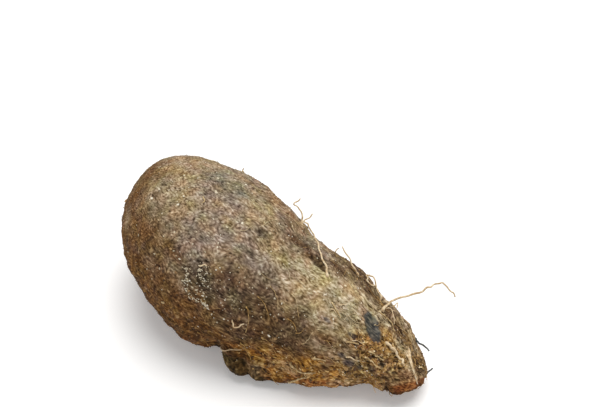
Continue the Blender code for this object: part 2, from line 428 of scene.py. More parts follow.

# %% [markdown]
# ## Patches
#
# No two places on a tuber look alike. One side lay in wet soil and another was rubbed pale. Where
# the cork came off, the layer below dried slate grey or violet. The bloom is a thin grey dust, and
# the scab is a graze that healed. At the crown the vine broke off, which left a rusty scar with a
# dark rim, below a tangle of torn strands. The lower side and the sides away from the light are
# painted darker brown, partly as soil and partly as shade. Painted shade also darkens the toe
# lobe's underside, a band across the belly, the back's edge where other tubers lay beside it,
# and the pits and creases. Small darker and paler spots are partly stains and dust, and partly
# painted shade and light.
#
# Such places could be painted on an image that wraps the skin. A list is easier to change: each
# patch is an ellipse on the skin with a ragged edge, and its strength at each point is kept as an
# attribute, which both the relief and the colours follow.

# %% Where the patches are
# Each patch has a station, an angle in degrees, and half its length and width in mm
PATCHES = {
    "olive": (
        (0.18, 12, 18, 14), (0.25, 18, 16, 10), (0.42, 338, 18, 9), (0.5, 346, 16, 8),
        (0.54, 2, 14, 10),
    ),
    "mauve": (
        (0.36, 28, 14, 12), (0.42, 25, 16, 12), (0.39, 8, 10, 8), (0.47, 24, 14, 10),
        (0.45, 352, 7, 5), (0.405, 40, 9, 7), (0.92, 345, 9, 7),
    ),
    "tan": ((0.14, 348, 14, 12), (0.2, 335, 12, 8), (0.385, 345, 5, 3), (0.46, 318, 14, 6)),
    "slate": (
        (0.812, 356, 2.8, 3.4), (0.822, 359, 3.4, 4.3), (0.834, 3, 3.6, 4.6), (0.846, 8, 3.6, 4.5),
        (0.856, 12, 3, 3.6),
    ),
    "violet": (
        (0.803, 29, 2.6, 1.8), (0.817, 34, 2.2, 1.8), (0.821, 62, 3.2, 2.2), (0.878, 55, 2.8, 2),
        (0.797, 56, 2.2, 1.6), (0.9, 42, 2.2, 1.8), (0.734, 30, 2.4, 1.4), (0.85, 62, 2, 1.6),
    ),
    "bloom": ((0.262, 338, 6, 5.5), (0.3, 339, 8, 7), (0.34, 337, 8, 8), (0.362, 338, 5, 6.5)),
    "smoke": ((0.385, 50, 8, 7), (0.51, 50, 7, 6), (0.47, 18, 7, 3), (0.352, 337, 6, 4)),
    "scab": (
        (0.362, 52, 4, 4), (0.368, 60, 4, 4), (0.38, 66, 4, 3), (0.402, 50, 5, 6),
        (0.416, 56, 5, 5), (0.432, 62, 4, 4),
    ),
    "pale": (
        (0.7, 8, 24, 15), (0.6, 0, 12, 9), (0.76, 20, 14, 8), (0.79, 345, 8, 7),
        (0.93, 359, 4, 3.5), (0.388, 8, 4, 3), (0.745, 348, 7, 5), (0.605, 18, 7, 5),
        (0.785, 57, 6, 4), (0.72, 33, 6, 5),
    ),
    # Darker brown, partly soil and partly painted shade, on the sides that face away from the light
    "brown_and_shade": (
        (0.08, 62, 22, 22), (0.16, 60, 24, 16), (0.19, 48, 20, 12), (0.21, 84, 26, 18),
        (0.3, 92, 34, 18), (0.34, 74, 24, 10), (0.07, 15, 10, 20), (0.06, 352, 9, 12),
        (0.7, 74, 26, 9), (0.56, 95, 30, 9), (0.75, 46, 9, 4), (0.285, 47, 11, 6),
        (0.97, 352, 6, 5),
    ),
    # Painted shade: a band across the belly that turns from the light, and tuber shadows on the
    # back's edge
    "painted_shade": (
        (0.48, 44, 16, 14), (0.56, 50, 18, 15), (0.61, 60, 18, 12), (0.66, 50, 13, 9),
        (0.53, 80, 14, 8), (0.49, 64, 10, 7), (0.672, 42, 9, 6), (0.562, 336, 12, 5),
        (0.625, 343, 8, 4), (0.69, 338, 9, 5), (0.72, 316, 18, 8), (0.8, 322, 14, 6),
        (0.885, 334, 8, 4), (0.915, 332, 7, 5), (0.975, 336, 6, 6),
    ),
    "umber": (
        (0.42, 98, 14, 8), (0.47, 98, 12, 7), (0.3, 110, 20, 12), (0.5, 106, 8, 4),
        (0.535, 106, 8, 4),
    ),
    "ochre": (
        (0.6, 100, 18, 6), (0.66, 104, 22, 9), (0.73, 98, 26, 11), (0.81, 86, 18, 9),
        (0.74, 250, 26, 14), (0.88, 215, 16, 12), (0.83, 30, 9, 5), (0.63, 92, 12, 7),
        (0.74, 75, 7, 5), (0.866, 355, 5, 3.2), (0.88, 0, 4.5, 3.4), (0.893, 8, 4, 3.5),
    ),
    "tangle": (
        (0.85, 30, 8, 6), (0.87, 44, 9, 8), (0.895, 30, 9, 9), (0.915, 50, 9, 9), (0.93, 20, 6, 6),
        (0.885, 68, 9, 8), (0.885, 8, 6, 5), (0.84, 74, 8, 5),
    ),
    "rufous": (
        (0.845, 34, 5, 2.4), (0.86, 20, 4.5, 2.6), (0.87, 27, 4, 2.4), (0.874, 42, 4, 3),
        (0.905, 58, 4, 3), (0.915, 34, 4, 3), (0.89, 82, 6, 4), (0.93, 70, 4, 4), (0.69, 106, 5, 3),
        (0.735, 112, 8, 4), (0.775, 110, 9, 4), (0.903, 47, 5.5, 4),
    ),
    # Painted shade: the dark underside of the toe lobe
    "toe": (
        (0.5, 120, 13, 8.5), (0.54, 122, 13, 9), (0.575, 123, 9, 6.5), (0.61, 127, 11, 6),
        (0.65, 129, 8, 4.5),
    ),
    # Darker spots, partly damp stains and partly painted shade, such as a shadow where another
    # tuber lay
    "damp_and_shade": (
        (0.089, 347, 6, 6), (0.14, 2, 6, 5), (0.255, 343, 5, 4), (0.335, 348, 7, 4),
        (0.274, 30, 6, 5), (0.322, 28, 7, 5), (0.478, 6, 4, 3), (0.506, 357, 6, 4),
        (0.563, 359, 7, 5), (0.585, 9, 7, 5), (0.581, 349, 5, 3), (0.556, 328, 8, 5),
        (0.665, 28, 6, 5), (0.447, 79, 7, 5), (0.531, 66, 7, 5), (0.57, 62, 5, 4),
        (0.618, 68, 6, 4), (0.689, 55, 6, 4), (0.786, 16, 6, 4), (0.818, 46, 8, 6),
        (0.758, 80, 5, 3.5), (0.852, 353, 6, 5), (0.876, 318, 6, 4), (0.492, 107, 5, 3),
        (0.554, 20, 6, 4), (0.592, 42, 6, 5), (0.389, 11, 5, 4), (0.2, 26, 5, 4),
        (0.298, 358, 3, 2.5), (0.36, 341, 5, 4), (0.165, 14, 5, 4), (0.5, 328, 6, 3),
        (0.918, 3, 5, 3), (0.492, 344, 5, 4), (0.705, 5, 5, 3),
    ),
    # Paler spots, partly dust and partly painted light, such as light along the lower edge
    "dust_and_light": (
        (0.226, 8, 6, 5), (0.246, 44, 4, 3), (0.609, 23, 6, 5), (0.675, 10, 4, 3),
        (0.743, 347, 6, 5), (0.628, 35, 6, 5), (0.765, 0, 6, 5), (0.72, 33, 8, 7),
        (0.582, 112, 7, 4), (0.906, 46, 6, 4.5), (0.805, 103, 8, 4), (0.836, 95, 7, 5),
        (0.916, 81, 6, 6), (0.985, 56, 4, 4), (0.455, 354, 8, 6), (0.487, 34, 5, 4),
        (0.412, 36, 7, 5), (0.44, 27, 7, 5), (0.363, 1, 4, 3), (0.672, 101, 9, 6),
        (0.765, 60, 7, 5), (0.088, 56, 5, 5), (0.362, 64, 6, 5),
    ),
    "scar": ((0.942, 56, 6, 6), (0.96, 54, 7, 6), (0.976, 54, 5, 5)),
    "rust": ((0.946, 84, 5, 4.4), (0.962, 85, 6, 5), (0.98, 80, 5, 5)),
    "rim": ((0.932, 90, 3, 6), (0.944, 105, 5, 4), (0.96, 110, 5, 4), (0.98, 116, 4, 4)),
    # Pits and gaps: sunk in the relief, and painted dark as shade
    "shaded_pit": (
        (0.476, 357, 3.4, 2.6), (0.639, 73, 2.2, 1.6), (0.381, 43, 1.8, 1.2), (0.397, 40, 1.6, 1),
        (0.808, 313, 1.8, 1.4), (0.862, 50, 2.2, 1.8), (0.872, 37, 1.8, 1.5), (0.888, 62, 2.2, 1.8),
        (0.905, 66, 2, 1.6), (0.898, 44, 1.8, 1.4), (0.918, 62, 2, 1.8), (0.85, 76, 2.4, 2),
        (0.916, 24, 1.8, 1.3), (0.875, 84, 3, 2),
    ),
    # Creases: sunk a little and painted dark as shade, like the shadow line by the shoulder's
    # rootlet
    "shaded_crease": (
        (0.617, 345, 5, 1.2), (0.641, 348, 5, 1.2), (0.664, 350, 4, 1.2), (0.848, 333, 5, 1.3),
        (0.52, 112, 9, 1.4), (0.58, 112, 7, 1.2), (0.925, 88, 1.3, 7),
    ),
}
print(sum(len(patches) for patches in PATCHES.values()), "patches, of", len(PATCHES), "kinds")

# %% The edges of the patches
# How wide a patch's edge is and how ragged, as shares of its size, and the size of the tatters
SOFT_EDGE = (0.7, 0.5, 8 * MM)
FIRM_EDGE = (0.35, 0.35, 4 * MM)
SHARP_EDGE = (0.22, 0.26, 3 * MM)
FRAYED_EDGE = (0.9, 0.7, 5 * MM)
HOLE_EDGE = (0.6, 0.2, 3 * MM)
TORN_EDGE = (0.7, 0.5, 2.4 * MM)
EDGES = {"slate": SHARP_EDGE, "bloom": FRAYED_EDGE, "shaded_pit": TORN_EDGE, "shaded_crease": HOLE_EDGE}
for name in ("violet", "scab", "scar", "rust", "rim", "toe", "tangle", "rufous"):
    EDGES[name] = FIRM_EDGE


def inside(patches, edge, ragged, torn_size):
    """1 inside the patches and 0 outside, with an edge of that share of their size."""
    torn = ragged * field(points, torn_size, seed=4)
    best = np.zeros(len(points))
    for where, angle, half_length, half_width in patches:
        along = (station - where) * LENGTH / (half_length * MM)
        apart = (np.degrees(turn) - angle + 180) % 360 - 180
        across = np.radians(apart) * reach / (half_width * MM)
        far = np.hypot(along, across) + torn
        best = np.maximum(best, 1 - ease(1 - edge, 1 + edge, far))
    return best


zones = {name: inside(PATCHES[name], *EDGES.get(name, SOFT_EDGE)) for name in PATCHES}
print("pale patches cover", round(100 * zones["pale"].mean()), "% of the skin")

# %% Tints and flecks
# Each starts to show at the first value of its random pattern, and shows in full at the second
TINT_SIZE = 17 * MM
TINT_SHOWS = (0.1, 0.5)
TINT_SHARE = 0.7
FLECK_SIZE = 6 * MM
FLECK_SHOWS = (0.1, 0.4)
PLUM_SHOWS = (0.05, 0.4)
GAP_SIZE = 3.2 * MM
GAP_SHOWS = (0.26, 0.42)
GAP_SHARE = 0.8
RUFOUS_SHARE = 0.6
UMBER_SHARE = 0.8
LEAST_WORN = 0.3
# How far a stained side faces down, as the height of its normal
STAINED_SIDE = (0.5, -0.2)
WRINKLES_COVERED = 0.75
RIM_SHARE = 0.8


def add_to_zone(name, strength):
    """A patch's kind takes in more of the skin."""
    zones[name] = np.maximum(zones[name], strength)


# The skin's tints wander everywhere, on the hidden sides too
tint = field(points, TINT_SIZE, seed=41)
add_to_zone("olive", TINT_SHARE * ease(*TINT_SHOWS, tint))
add_to_zone("mauve", TINT_SHARE * ease(*TINT_SHOWS, -tint))
# Smaller flecks are greenish and rosy where the skin is worn pale, and plum on the lower side, in
# the earthy patches and in the painted shade
fleck = field(points, FLECK_SIZE, seed=43)
worn = np.clip(np.maximum(neck, zones["pale"]) - zones["painted_shade"], LEAST_WORN, 1)
stained_and_shaded = ease(*STAINED_SIDE, normals[:, 2])
for name in ("painted_shade", "brown_and_shade", "ochre"):
    stained_and_shaded = np.maximum(stained_and_shaded, zones[name])
zones["plum"] = stained_and_shaded * ease(*PLUM_SHOWS, field(points, FLECK_SIZE, seed=45))
zones["moss"] = worn * ease(*FLECK_SHOWS, fleck)
zones["rose"] = worn * ease(*FLECK_SHOWS, -fleck)
add_to_zone("rufous", RUFOUS_SHARE * zones["ochre"] * ease(*FLECK_SHOWS, fleck))
add_to_zone("umber", UMBER_SHARE * zones["ochre"] * ease(*FLECK_SHOWS, -fleck))
# Between the strands of the crown the gaps of a few mm are painted dark as shade
gaps = ease(*GAP_SHOWS, field(points, GAP_SIZE, seed=44))
add_to_zone("shaded_pit", GAP_SHARE * zones["tangle"] * gaps)
# Rubbed soil and broken strands lie over the wrinkles of the crown
neck = neck * (1 - WRINKLES_COVERED * zones["tangle"])
slate = np.maximum(zones["slate"], zones["violet"])
scarred = np.maximum.reduce([zones["scar"], zones["rust"], RIM_SHARE * zones["rim"]])
closed = np.maximum(slate, scarred)
print("slate patches cover", round(100 * slate.mean(), 2), "% of the skin")

# %% [markdown]
# ## The relief itself
#
# Cracks, specks, furrows and wrinkles add up to one height. Those of the neck are drawn out along
# the flow, up to four times as long as they are wide. The real cork's finest specks are below
# 1 mm, which the mesh's cells of 0.8 mm can't carry, so they are drawn near 2 mm here, and the
# finish adds a finer grain. How far each point stands out is kept as an attribute for the colours.

# %% Sizes and heights of the relief
CORK_SIZE = 2.6 * MM
# Each pattern's size in mm, its seed, and how many times longer than wide it is along the flow
DRAWN = {
    "speck": (1.8, 2, 1.35), "crust": (2.8, 11, 1.3), "coarse": (2.6, 9, 1.4),
    "clump": (2.8, 10, 1.2), "furrow": (1.8, 3, 2.8), "wrinkle": (4.2, 5, 4),
}
ROUND = {"swell": (16, 6), "knob": (6.5, 7), "clod": (7, 8)}
HEIGHTS = {
    "cork": 0.30 * MM, "speck": 0.32 * MM, "crust": 0.35 * MM, "furrow": 0.45 * MM,
    "wrinkle": 0.5 * MM, "swell": 0.5 * MM, "clump": 0.9 * MM, "knob": 1.3 * MM, "clod": 1.4 * MM,
}
PIT_DEPTH = 1.6 * MM
SLATE_DEPTH = 0.4 * MM
WARP_SIZE = 13 * MM
WARP = 3.0 * MM
RESTING_HEIGHT = 2 * MM
CROWN_STATIONS = (0.86, 0.95)
# The lower side, by the height of its normal, with a ragged edge
LOW_SIDE = (0.92, 0.0)
LOW_RAGGED = 0.15
LOW_TATTERS = 26 * MM
# How far from a crack the cork reaches its full height, as a share of a scale
CRACK_EDGE = (0.0, 0.5)
CORK_WORN_OFF = 0.4
BELLY_FURROWS = 0.15
LEAST_CLOD = -0.2
TANGLE_CLODS = 0.6
OCHRE_CLUMPS = 0.4
CREASE_SHARE = 0.7
# Places where the skin stands out or sinks by more: a height in mm, then a patch
SHAPED = (
    (0.5, (0.05, 345, 12, 14)), (-0.9, (0.085, 38, 14, 14)), (1.6, (0.115, 86, 14, 14)),
    (0.9, (0.4, 306, 24, 9)), (1, (0.53, 311, 16, 8)), (-1.1, (0.7, 325, 13, 8)),
    (1.8, (0.5, 118, 9, 8)), (1.4, (0.535, 125, 9, 7)), (3.8, (0.566, 122, 12, 8.5)),
    (2.4, (0.625, 120, 12, 7.5)), (-2.4, (0.462, 117, 3.5, 9)), (0.9, (0.5, 109, 7, 2.6)),
    (1.1, (0.545, 108, 10, 2.6)), (0.9, (0.6, 109, 10, 2.6)), (-0.9, (0.56, 115, 18, 2.4)),
    (1.5, (0.75, 118, 13, 8)), (-2, (0.867, 99, 5.5, 11)), (1.7, (0.948, 84, 6.5, 9)),
    (0.8, (0.905, 300, 6, 5)), (-1.2, (0.952, 308, 7, 5)), (-1, (0.921, 84, 2.5, 9)),
)
print(len(SHAPED), "places stand out or sink by more than the rest")

# %% Lumps, cracks and wrinkles
crown = ease(*CROWN_STATIONS, station)
low = ease(*LOW_SIDE, normals[:, 2] + LOW_RAGGED * field(points, LOW_TATTERS, seed=12))

# The cracks and strokes of the skin curl about, so their pattern is drawn on a warped flow
warp = np.column_stack([field(points, WARP_SIZE, seed) for seed in (31, 32, 33)])
flow += WARP * warp

cork = ease(*CRACK_EDGE, scales(flow, CORK_SIZE, seed=1, stretch=1.3))
lumps = {name: drawn_field(size * MM, *rest) for name, (size, *rest) in DRAWN.items()}
lumps.update({name: field(points, size * MM, seed) for name, (size, seed) in ROUND.items()})
lumps["cork"] = cork - 0.5
print("the cork is below half its height on", round(100 * (cork < 0.5).mean()), "% of the skin")

# %% The skin moves
lumps["clod"] = np.clip(lumps["clod"], LEAST_CLOD, 1)
rise = {name: HEIGHTS[name] * lumps[name] for name in HEIGHTS}
height = rise["cork"] * (1 - CORK_WORN_OFF * neck) + rise["speck"]
height += rise["furrow"] * (BELLY_FURROWS + (1 - BELLY_FURROWS) * neck)
height += (rise["wrinkle"] + rise["crust"]) * neck
height *= 1 - slate
height += rise["swell"]
height += rise["knob"] * crown
height += rise["clod"] * np.maximum(low, TANGLE_CLODS * zones["tangle"])
height += rise["clump"] * np.maximum(zones["tangle"], OCHRE_CLUMPS * zones["ochre"])
height -= PIT_DEPTH * np.maximum(zones["shaded_pit"], CREASE_SHARE * zones["shaded_crease"])
height -= SLATE_DEPTH * slate
for lift, patch in SHAPED:
    height += lift * MM * inside((patch,), *SOFT_EDGE)
# The relief fades out where the tuber rests
height *= ease(0, RESTING_HEIGHT, points[:, 2])


def keep_in_box(rows):
    """Holds points inside the solid's box, and on or above the surface that the tuber rests on."""
    return np.clip(rows, np.array(cad_low), np.array(cad_high))


write_points(skin.data, keep_in_box(points + height[:, None] * normals))
print("the relief is from", round(height.min() / MM, 2), "to", round(height.max() / MM, 2), "mm")

# %% What the colours read
# How much each pattern adds to the tone, which is 0 in dark gaps and 1 on pale tips
SKIN_TONE = {"cork": 0.12, "speck": 0.22, "coarse": 0.10}
LOW_TONE = {"knob": 0.14, "coarse": 0.10}
NECK_TONE = {"furrow": 0.34, "wrinkle": 0.12, "crust": 0.40}
CLUMP_TONE = {"tangle": 0.5, "ochre": 0.3}


def add_attribute(mesh, name, values):
    """Keeps a number or a vector for each point, which a material reads by the name."""
    kind, part = ("FLOAT", "value") if values.ndim == 1 else ("FLOAT_VECTOR", "vector")
    attribute = mesh.attributes.new(name, kind, "POINT")
    attribute.data.foreach_set(part, values.astype(np.float32).ravel())


def tone_of(shares):
    """The sum of some patterns, each times its share."""
    return sum(share * lumps[name] for name, share in shares.items())


clumps = np.maximum.reduce([share * zones[name] for name, share in CLUMP_TONE.items()])
raised = tone_of(SKIN_TONE) + low * tone_of(LOW_TONE) + neck * tone_of(NECK_TONE)
raised += lumps["clump"] * clumps
add_attribute(skin.data, "cork", np.clip(0.5 + raised, 0, 1))
# The copies that stand on the skin get the same masks later
masks = {"neck": neck, "low": low, **zones, "flow": flow}
for name, values in masks.items():
    add_attribute(skin.data, name, values)
print("the skin has", len(skin.data.attributes), "attributes")

# %% [markdown]
# ## The finish of the skin
#
# Dry cork is matt. It has no shine even where it is smooth, so its roughness is near 0.9. Its
# colour comes from dark gaps, brown cork and pale dry tips, and so from one ramp over the height
# that the relief kept, with a fine grain added. An image could hold the colours, but a pattern has
# no seams and stays sharp close up. Each kind of patch has a ramp of its own, and its mask lays
# that over the ones before: first the skin's own tints, then earth, stains, painted shade and a
# little painted light, and last the bare places and the pits and creases, painted dark as shade.
# At the end the hue wanders a little, as no two places of real cork dried quite alike.

# %% Colours of the skin
TONES = {3: (0.05, 0.50, 0.95), 5: (0.05, 0.35, 0.50, 0.65, 0.95)}


def graded(*codes):
    """Three or five colours at fixed tones, from the cork's dark gaps to its pale tips."""
    return TONES[len(codes)], codes


DRY = graded("#45362a", "#7d6b55", "#93816a", "#a9977e", "#d6c8af")
# Colours over the dry skin, from the first to the last: a mask, a strength, and a ramp
LAYERS = (
    ("olive", 0.6, graded("#423423", "#837050", "#998667", "#af9c7d", "#dccdae")),
    ("mauve", 0.6, graded("#41332d", "#79685f", "#8c7b71", "#a39287", "#d6c8bb")),
    ("tan", 0.6, graded("#493320", "#8a6c4a", "#9f8260", "#b49877", "#dcc6a6")),
    ("neck", 0.45, graded("#46341d", "#876f43", "#9d855a", "#b59d72", "#e4d2ab")),
    ("pale", 0.8, graded("#5a462b", "#9a855e", "#b3a07e", "#cab895", "#eee1c3")),
    ("moss", 0.45, graded("#4b4129", "#8b815b", "#a29873", "#bab08b", "#e4dcb9")),
    ("rose", 0.65, graded("#523b2c", "#94765d", "#ab8d73", "#c4a78d", "#ecd9c6")),
    # The lower side: darker brown, partly soil and partly painted shade where it faces down
    ("low", 1.0, graded("#271506", "#4e2e12", "#633d19", "#7c5327", "#ad814c")),
    # Partly soil and partly painted shade, on the sides away from the light
    ("brown_and_shade", 0.85, graded("#311d0b", "#56391b", "#694823", "#805c33", "#b08a5a")),
    # Painted shade over the belly's band and the back's edge
    ("painted_shade", 0.95, graded("#281b10", "#4a3522", "#5c4530", "#70573c", "#9c825e")),
    ("smoke", 0.5, graded("#26211c", "#58503f", "#968b75")),
    ("ochre", 0.9, graded("#362009", "#825520", "#a1702f", "#c08e46", "#e8c078")),
    ("plum", 0.5, graded("#1e140f", "#47342a", "#5c463a", "#745b4b", "#a28871")),
    ("umber", 0.7, graded("#1b0e04", "#3f2812", "#50351a", "#684829", "#977248")),
    ("tangle", 0.85, graded("#1d1107", "#775526", "#a37e41", "#caa767", "#fff2c8")),
    ("rufous", 0.8, graded("#331a0a", "#84502a", "#9d6638", "#b37d4a", "#d9ad78")),
    # Painted shade on the toe lobe's underside
    ("toe", 0.95, graded("#171107", "#362a17", "#493920", "#5c492d", "#877350")),
    # Partly damp stains and partly painted shade
    ("damp_and_shade", 0.35, graded("#1c130b", "#54422e", "#9a8263")),
    # Partly dust and partly painted light
    ("dust_and_light", 0.35, graded("#4c3a26", "#b69a74", "#f2e2c4")),
    ("bloom", 0.5, graded("#30352f", "#5c635c", "#a3aa9f")),
    ("scab", 0.85, graded("#1f1811", "#463727", "#85735a")),
    ("violet", 0.75, graded("#1f1e22", "#3d3a3e", "#6a6464")),
    ("slate", 0.92, graded("#2a2f31", "#434648", "#6b6961")),
    ("scar", 0.95, graded("#43291a", "#94704d", "#cda97a")),
    ("rust", 0.95, graded("#38190a", "#824823", "#bb7d44")),
    ("rim", 0.85, graded("#180c05", "#3d2510", "#704e2a")),
    # Painted shade in the pits and gaps
    ("shaded_pit", 0.85, graded("#140d07", "#2c2016", "#4f3d2a")),
    # Painted shade in the creases
    ("shaded_crease", 0.75, graded("#1c130a", "#3f2f1e", "#6a543a")),
)
# Colours that the skin wanders between, as a size and a ramp. The middle of a ramp changes nothing
HUE_STOPS = (0.34, 0.50, 0.66)
HUES = (
    (9 * MM, (HUE_STOPS, ("#b8bfb0", "#bcbcbc", "#c1b7b5"))),
    (11 * MM, (HUE_STOPS, ("#c2bba6", "#bcbcbc", "#b6bbc6"))),
)
HUE_SHARE = 0.6
print("the skin has", len(LAYERS), "layers of colour over the dry cork")

# %% Nodes
# Where the Mix node has its factor, its numbers, its colours and its mixed colour
FACTOR, NUMBER_A, NUMBER_B, COLOUR_A, COLOUR_B, RESULT = 0, 2, 3, 6, 7, 2


def add_node(tree, kind, inputs=None, stops=None, out=0, **settings):
    """Adds a node of that kind, and gives its output.

    An input takes a value, or the output of another node that feeds it. The stops of a ramp are
    its places, from 0 to 1, and its colours.
    """
    node = tree.nodes.new("ShaderNode" + kind)
    for name, value in settings.items():
        setattr(node, name, value)
    for key, value in (inputs or {}).items():
        if isinstance(value, bpy.types.NodeSocket):
            tree.links.new(value, node.inputs[key])
        else:
            node.inputs[key].default_value = value
    if stops:
        ramp = node.color_ramp.elements
        while len(ramp) < len(stops[0]):
            ramp.new(1.0)
        for element, place, code in zip(ramp, *stops):
            element.position = place
            element.color = linear(code)
    return node.outputs[out]


def feed_shader(tree, shader, colour, rough, rise):
    """Links what a finish worked out to its shader."""
    for name, output in (("Base Color", colour), ("Roughness", rough), ("Normal", rise)):
        tree.links.new(output, shader.inputs[name])


print("a Mix node takes its two colours at its inputs", COLOUR_A, "and", COLOUR_B)

# %% Dry cork
MOTTLE_SIZE = 8 * MM
MOTTLE_SHIFT = 0.4
# Real cork has a grain of near 0.5 mm. It is drawn coarser here, so that it shows from this far:
# short strokes on the belly and longer streaks on the neck, as a size and a scale lengthwise
GRAINS = ((1.25 * MM, 0.62), (1.45 * MM, 0.42))
GRAIN_DETAIL = 1.5
GRAIN_CONTRAST = 1.5
NECK_CONTRAST = 0.8
GRAIN_RISE = 0.25 * MM
# Dry cork scatters nearly all light. The bare slate patches are smoother, and catch a faint shine
DRY_ROUGHNESS = 0.92
DRY_GLOSS = 0.12
SLATE_ROUGHNESS = 0.68


def make_cork():
    """Cork that dried in the air: dull and mottled, with pale tips and dark gaps."""
    material, tree, shader = new_material("dry_cork_skin")
    place = add_node(tree, "TexCoord", out="Object")
    mask = {}
    for name in ["cork"] + [layer[0] for layer in LAYERS]:
        mask[name] = add_node(tree, "Attribute", out="Fac", attribute_name=name)
    flow = add_node(tree, "Attribute", out="Vector", attribute_name="flow")
    mottle = add_node(tree, "TexNoise", {"Vector": place, "Scale": 1 / MOTTLE_SIZE, "Detail": 3})
    grains = []
    for size, lengthwise in GRAINS:
        drawn = add_node(tree, "Mapping", {"Vector": flow, "Scale": (lengthwise, 1, 1)})
        stroke = {"Vector": drawn, "Scale": 1 / size, "Detail": GRAIN_DETAIL}
        grains.append(add_node(tree, "TexNoise", stroke))
    grain = add_node(tree, "Mix", {FACTOR: mask["neck"], NUMBER_A: grains[0], NUMBER_B: grains[1]})
    # The grain shifts the tone both ways, and more so where the neck is wrinkled
    around = add_node(tree, "Math", {0: grain, 1: 0.5}, operation="SUBTRACT")
    stronger = {0: mask["neck"], 1: NECK_CONTRAST, 2: GRAIN_CONTRAST}
    contrast = add_node(tree, "Math", stronger, operation="MULTIPLY_ADD")
    wide = add_node(tree, "Math", {0: around, 1: contrast}, operation="MULTIPLY")
    tone = add_node(tree, "Math", {0: mask["cork"], 1: wide}, operation="ADD")
    mottled = {0: mottle, 1: MOTTLE_SHIFT, 2: -MOTTLE_SHIFT / 2}
    shift = add_node(tree, "Math", mottled, operation="MULTIPLY_ADD")
    tone = add_node(tree, "Math", {0: tone, 1: shift}, operation="ADD")
    colour = add_node(tree, "ValToRGB", {0: tone}, DRY)
    for name, strength, stops in LAYERS:
        share = add_node(tree, "Math", {0: mask[name], 1: strength}, operation="MULTIPLY")
        above = add_node(tree, "ValToRGB", {0: tone}, stops)
        mixed = {FACTOR: share, COLOUR_A: colour, COLOUR_B: above}
        colour = add_node(tree, "Mix", mixed, out=RESULT, data_type="RGBA")
    for size, stops in HUES:
        wander = add_node(tree, "TexNoise", {"Vector": place, "Scale": 1 / size, "Detail": 1})
        hue = add_node(tree, "ValToRGB", {0: wander}, stops)
        mixed = {FACTOR: HUE_SHARE, COLOUR_A: colour, COLOUR_B: hue}
        overlay = {"data_type": "RGBA", "blend_type": "OVERLAY"}
        colour = add_node(tree, "Mix", mixed, out=RESULT, **overlay)
    smoother = {0: mask["slate"], 1: SLATE_ROUGHNESS - DRY_ROUGHNESS, 2: DRY_ROUGHNESS}
    rough = add_node(tree, "Math", smoother, operation="MULTIPLY_ADD")
    rise = add_node(tree, "Bump", {"Height": grain, "Distance": GRAIN_RISE, "Strength": 1})
    shader.inputs["Specular IOR Level"].default_value = DRY_GLOSS
    feed_shader(tree, shader, colour, rough, rise)
    return material


skin.data.materials.append(make_cork())
print("the skin's finish has", len(skin.data.materials[0].node_tree.nodes), "nodes")

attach(skin, "root")
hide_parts("tuber")

# %% [markdown]
# ## Dry rootlets
#
# While it grew, the tuber fed through fine rootlets all over its skin. They dried when it was dug
# up, and most broke off. The few long ones that are left are cream where their bark is fresh and
# golden or grey where it is old. Each has a wider collar where it leaves the skin, small kinks,
# and a thin tip.
#
# A rootlet could be a cylinder that is extruded and turned step by step. A curve with a round
# bevel is easier: its points are places on the skin with a height over it, the curve is smooth
# through them, and each point has its own thickness. The ones that stand up are where the solid
# has its rods. The thinner ones that lie on the skin are only here.

# %% Where a rootlet goes
# Thickness in mm, then places from root to tip: a station, an angle, and a height in mm
PALE_ROOTLETS = {
    "shoulder_root": (1.5, (
        (0.676, 354, 0), (0.659, 346, 1.3), (0.635, 341, 1.5), (0.608, 331, 1.7), (0.59, 323, 2.4),
        (0.571, 322, 4.8), (0.55, 322, 8.4), (0.534, 322, 9.2), (0.545, 319, 15),
    )),
    "shoulder_hook": (1.4, (
        (0.509, 307, 0), (0.503, 307, 3), (0.485, 308, 4.9), (0.467, 309, 4.9), (0.477, 308, 10),
    )),
    "neck_hair": (1.4, ((0.722, 319, 0), (0.71, 320, 3), (0.689, 321, 5.4), (0.651, 320, 9.4))),
    "long_root": (1.6, (
        (0.828, 331, 0), (0.824, 313, 1.8), (0.83, 309, 4.2), (0.858, 306, 12), (0.886, 303, 22.5),
        (0.902, 302, 29.5), (0.915, 301, 37), (0.931, 299, 42), (0.952, 297, 44),
        (0.968, 293, 44.5),
    )),
    "neck_loop": (1.2, (
        (0.798, 310, 0), (0.785, 310, 1.6), (0.771, 309, 3.4), (0.755, 309, 4.4), (0.742, 311, 2.6),
        (0.749, 315, 1.4), (0.764, 314, 1.9), (0.773, 311, 3),
    )),
    "neck_hook": (0.9, ((0.838, 307, 0), (0.843, 308, 3.6), (0.851, 311, 2.8))),
}
LYING_ROOTLETS = {
    "long_root_branch": (0.9, (
        (0.829, 329, 0), (0.837, 320, 1.6), (0.855, 326, 1.6), (0.872, 334, 1.4),
    )),
    "belly_curl": (1, ((0.511, 70, 0), (0.522, 73, 1.6), (0.535, 71, 1.6), (0.543, 66, 2.8))),
    "belly_scrap": (1, ((0.388, 45, 0), (0.397, 43, 1.4), (0.405, 42, 1.4))),
    "toe_thread": (0.9, ((0.477, 108, 0), (0.508, 103, 1.4), (0.541, 98, 1.4))),
    "neck_strand": (0.9, (
        (0.812, 55, 0), (0.822, 53, 1.5), (0.832, 54, 1), (0.846, 52, 1.5), (0.856, 52, 1.2),
    )),
    "neck_straw": (0.8, ((0.807, 34, 0), (0.814, 32, 1.4), (0.822, 30, 1.3), (0.831, 30, 1.2))),
    "neck_splinter": (0.8, ((0.744, 11, 0), (0.75, 9, 1.4), (0.757, 6, 1.2))),
    "neck_flint": (0.9, ((0.732, 19, 0), (0.739, 18, 1.4), (0.748, 20, 1.2))),
    "crown_cord": (2.1, (
        (0.884, 9, 0.5), (0.896, 10, 2.3), (0.907, 12, 2.1), (0.917, 13, 2.3), (0.927, 16, 2.1),
        (0.938, 17, 2.2), (0.95, 21, 1.8),
    )),
}
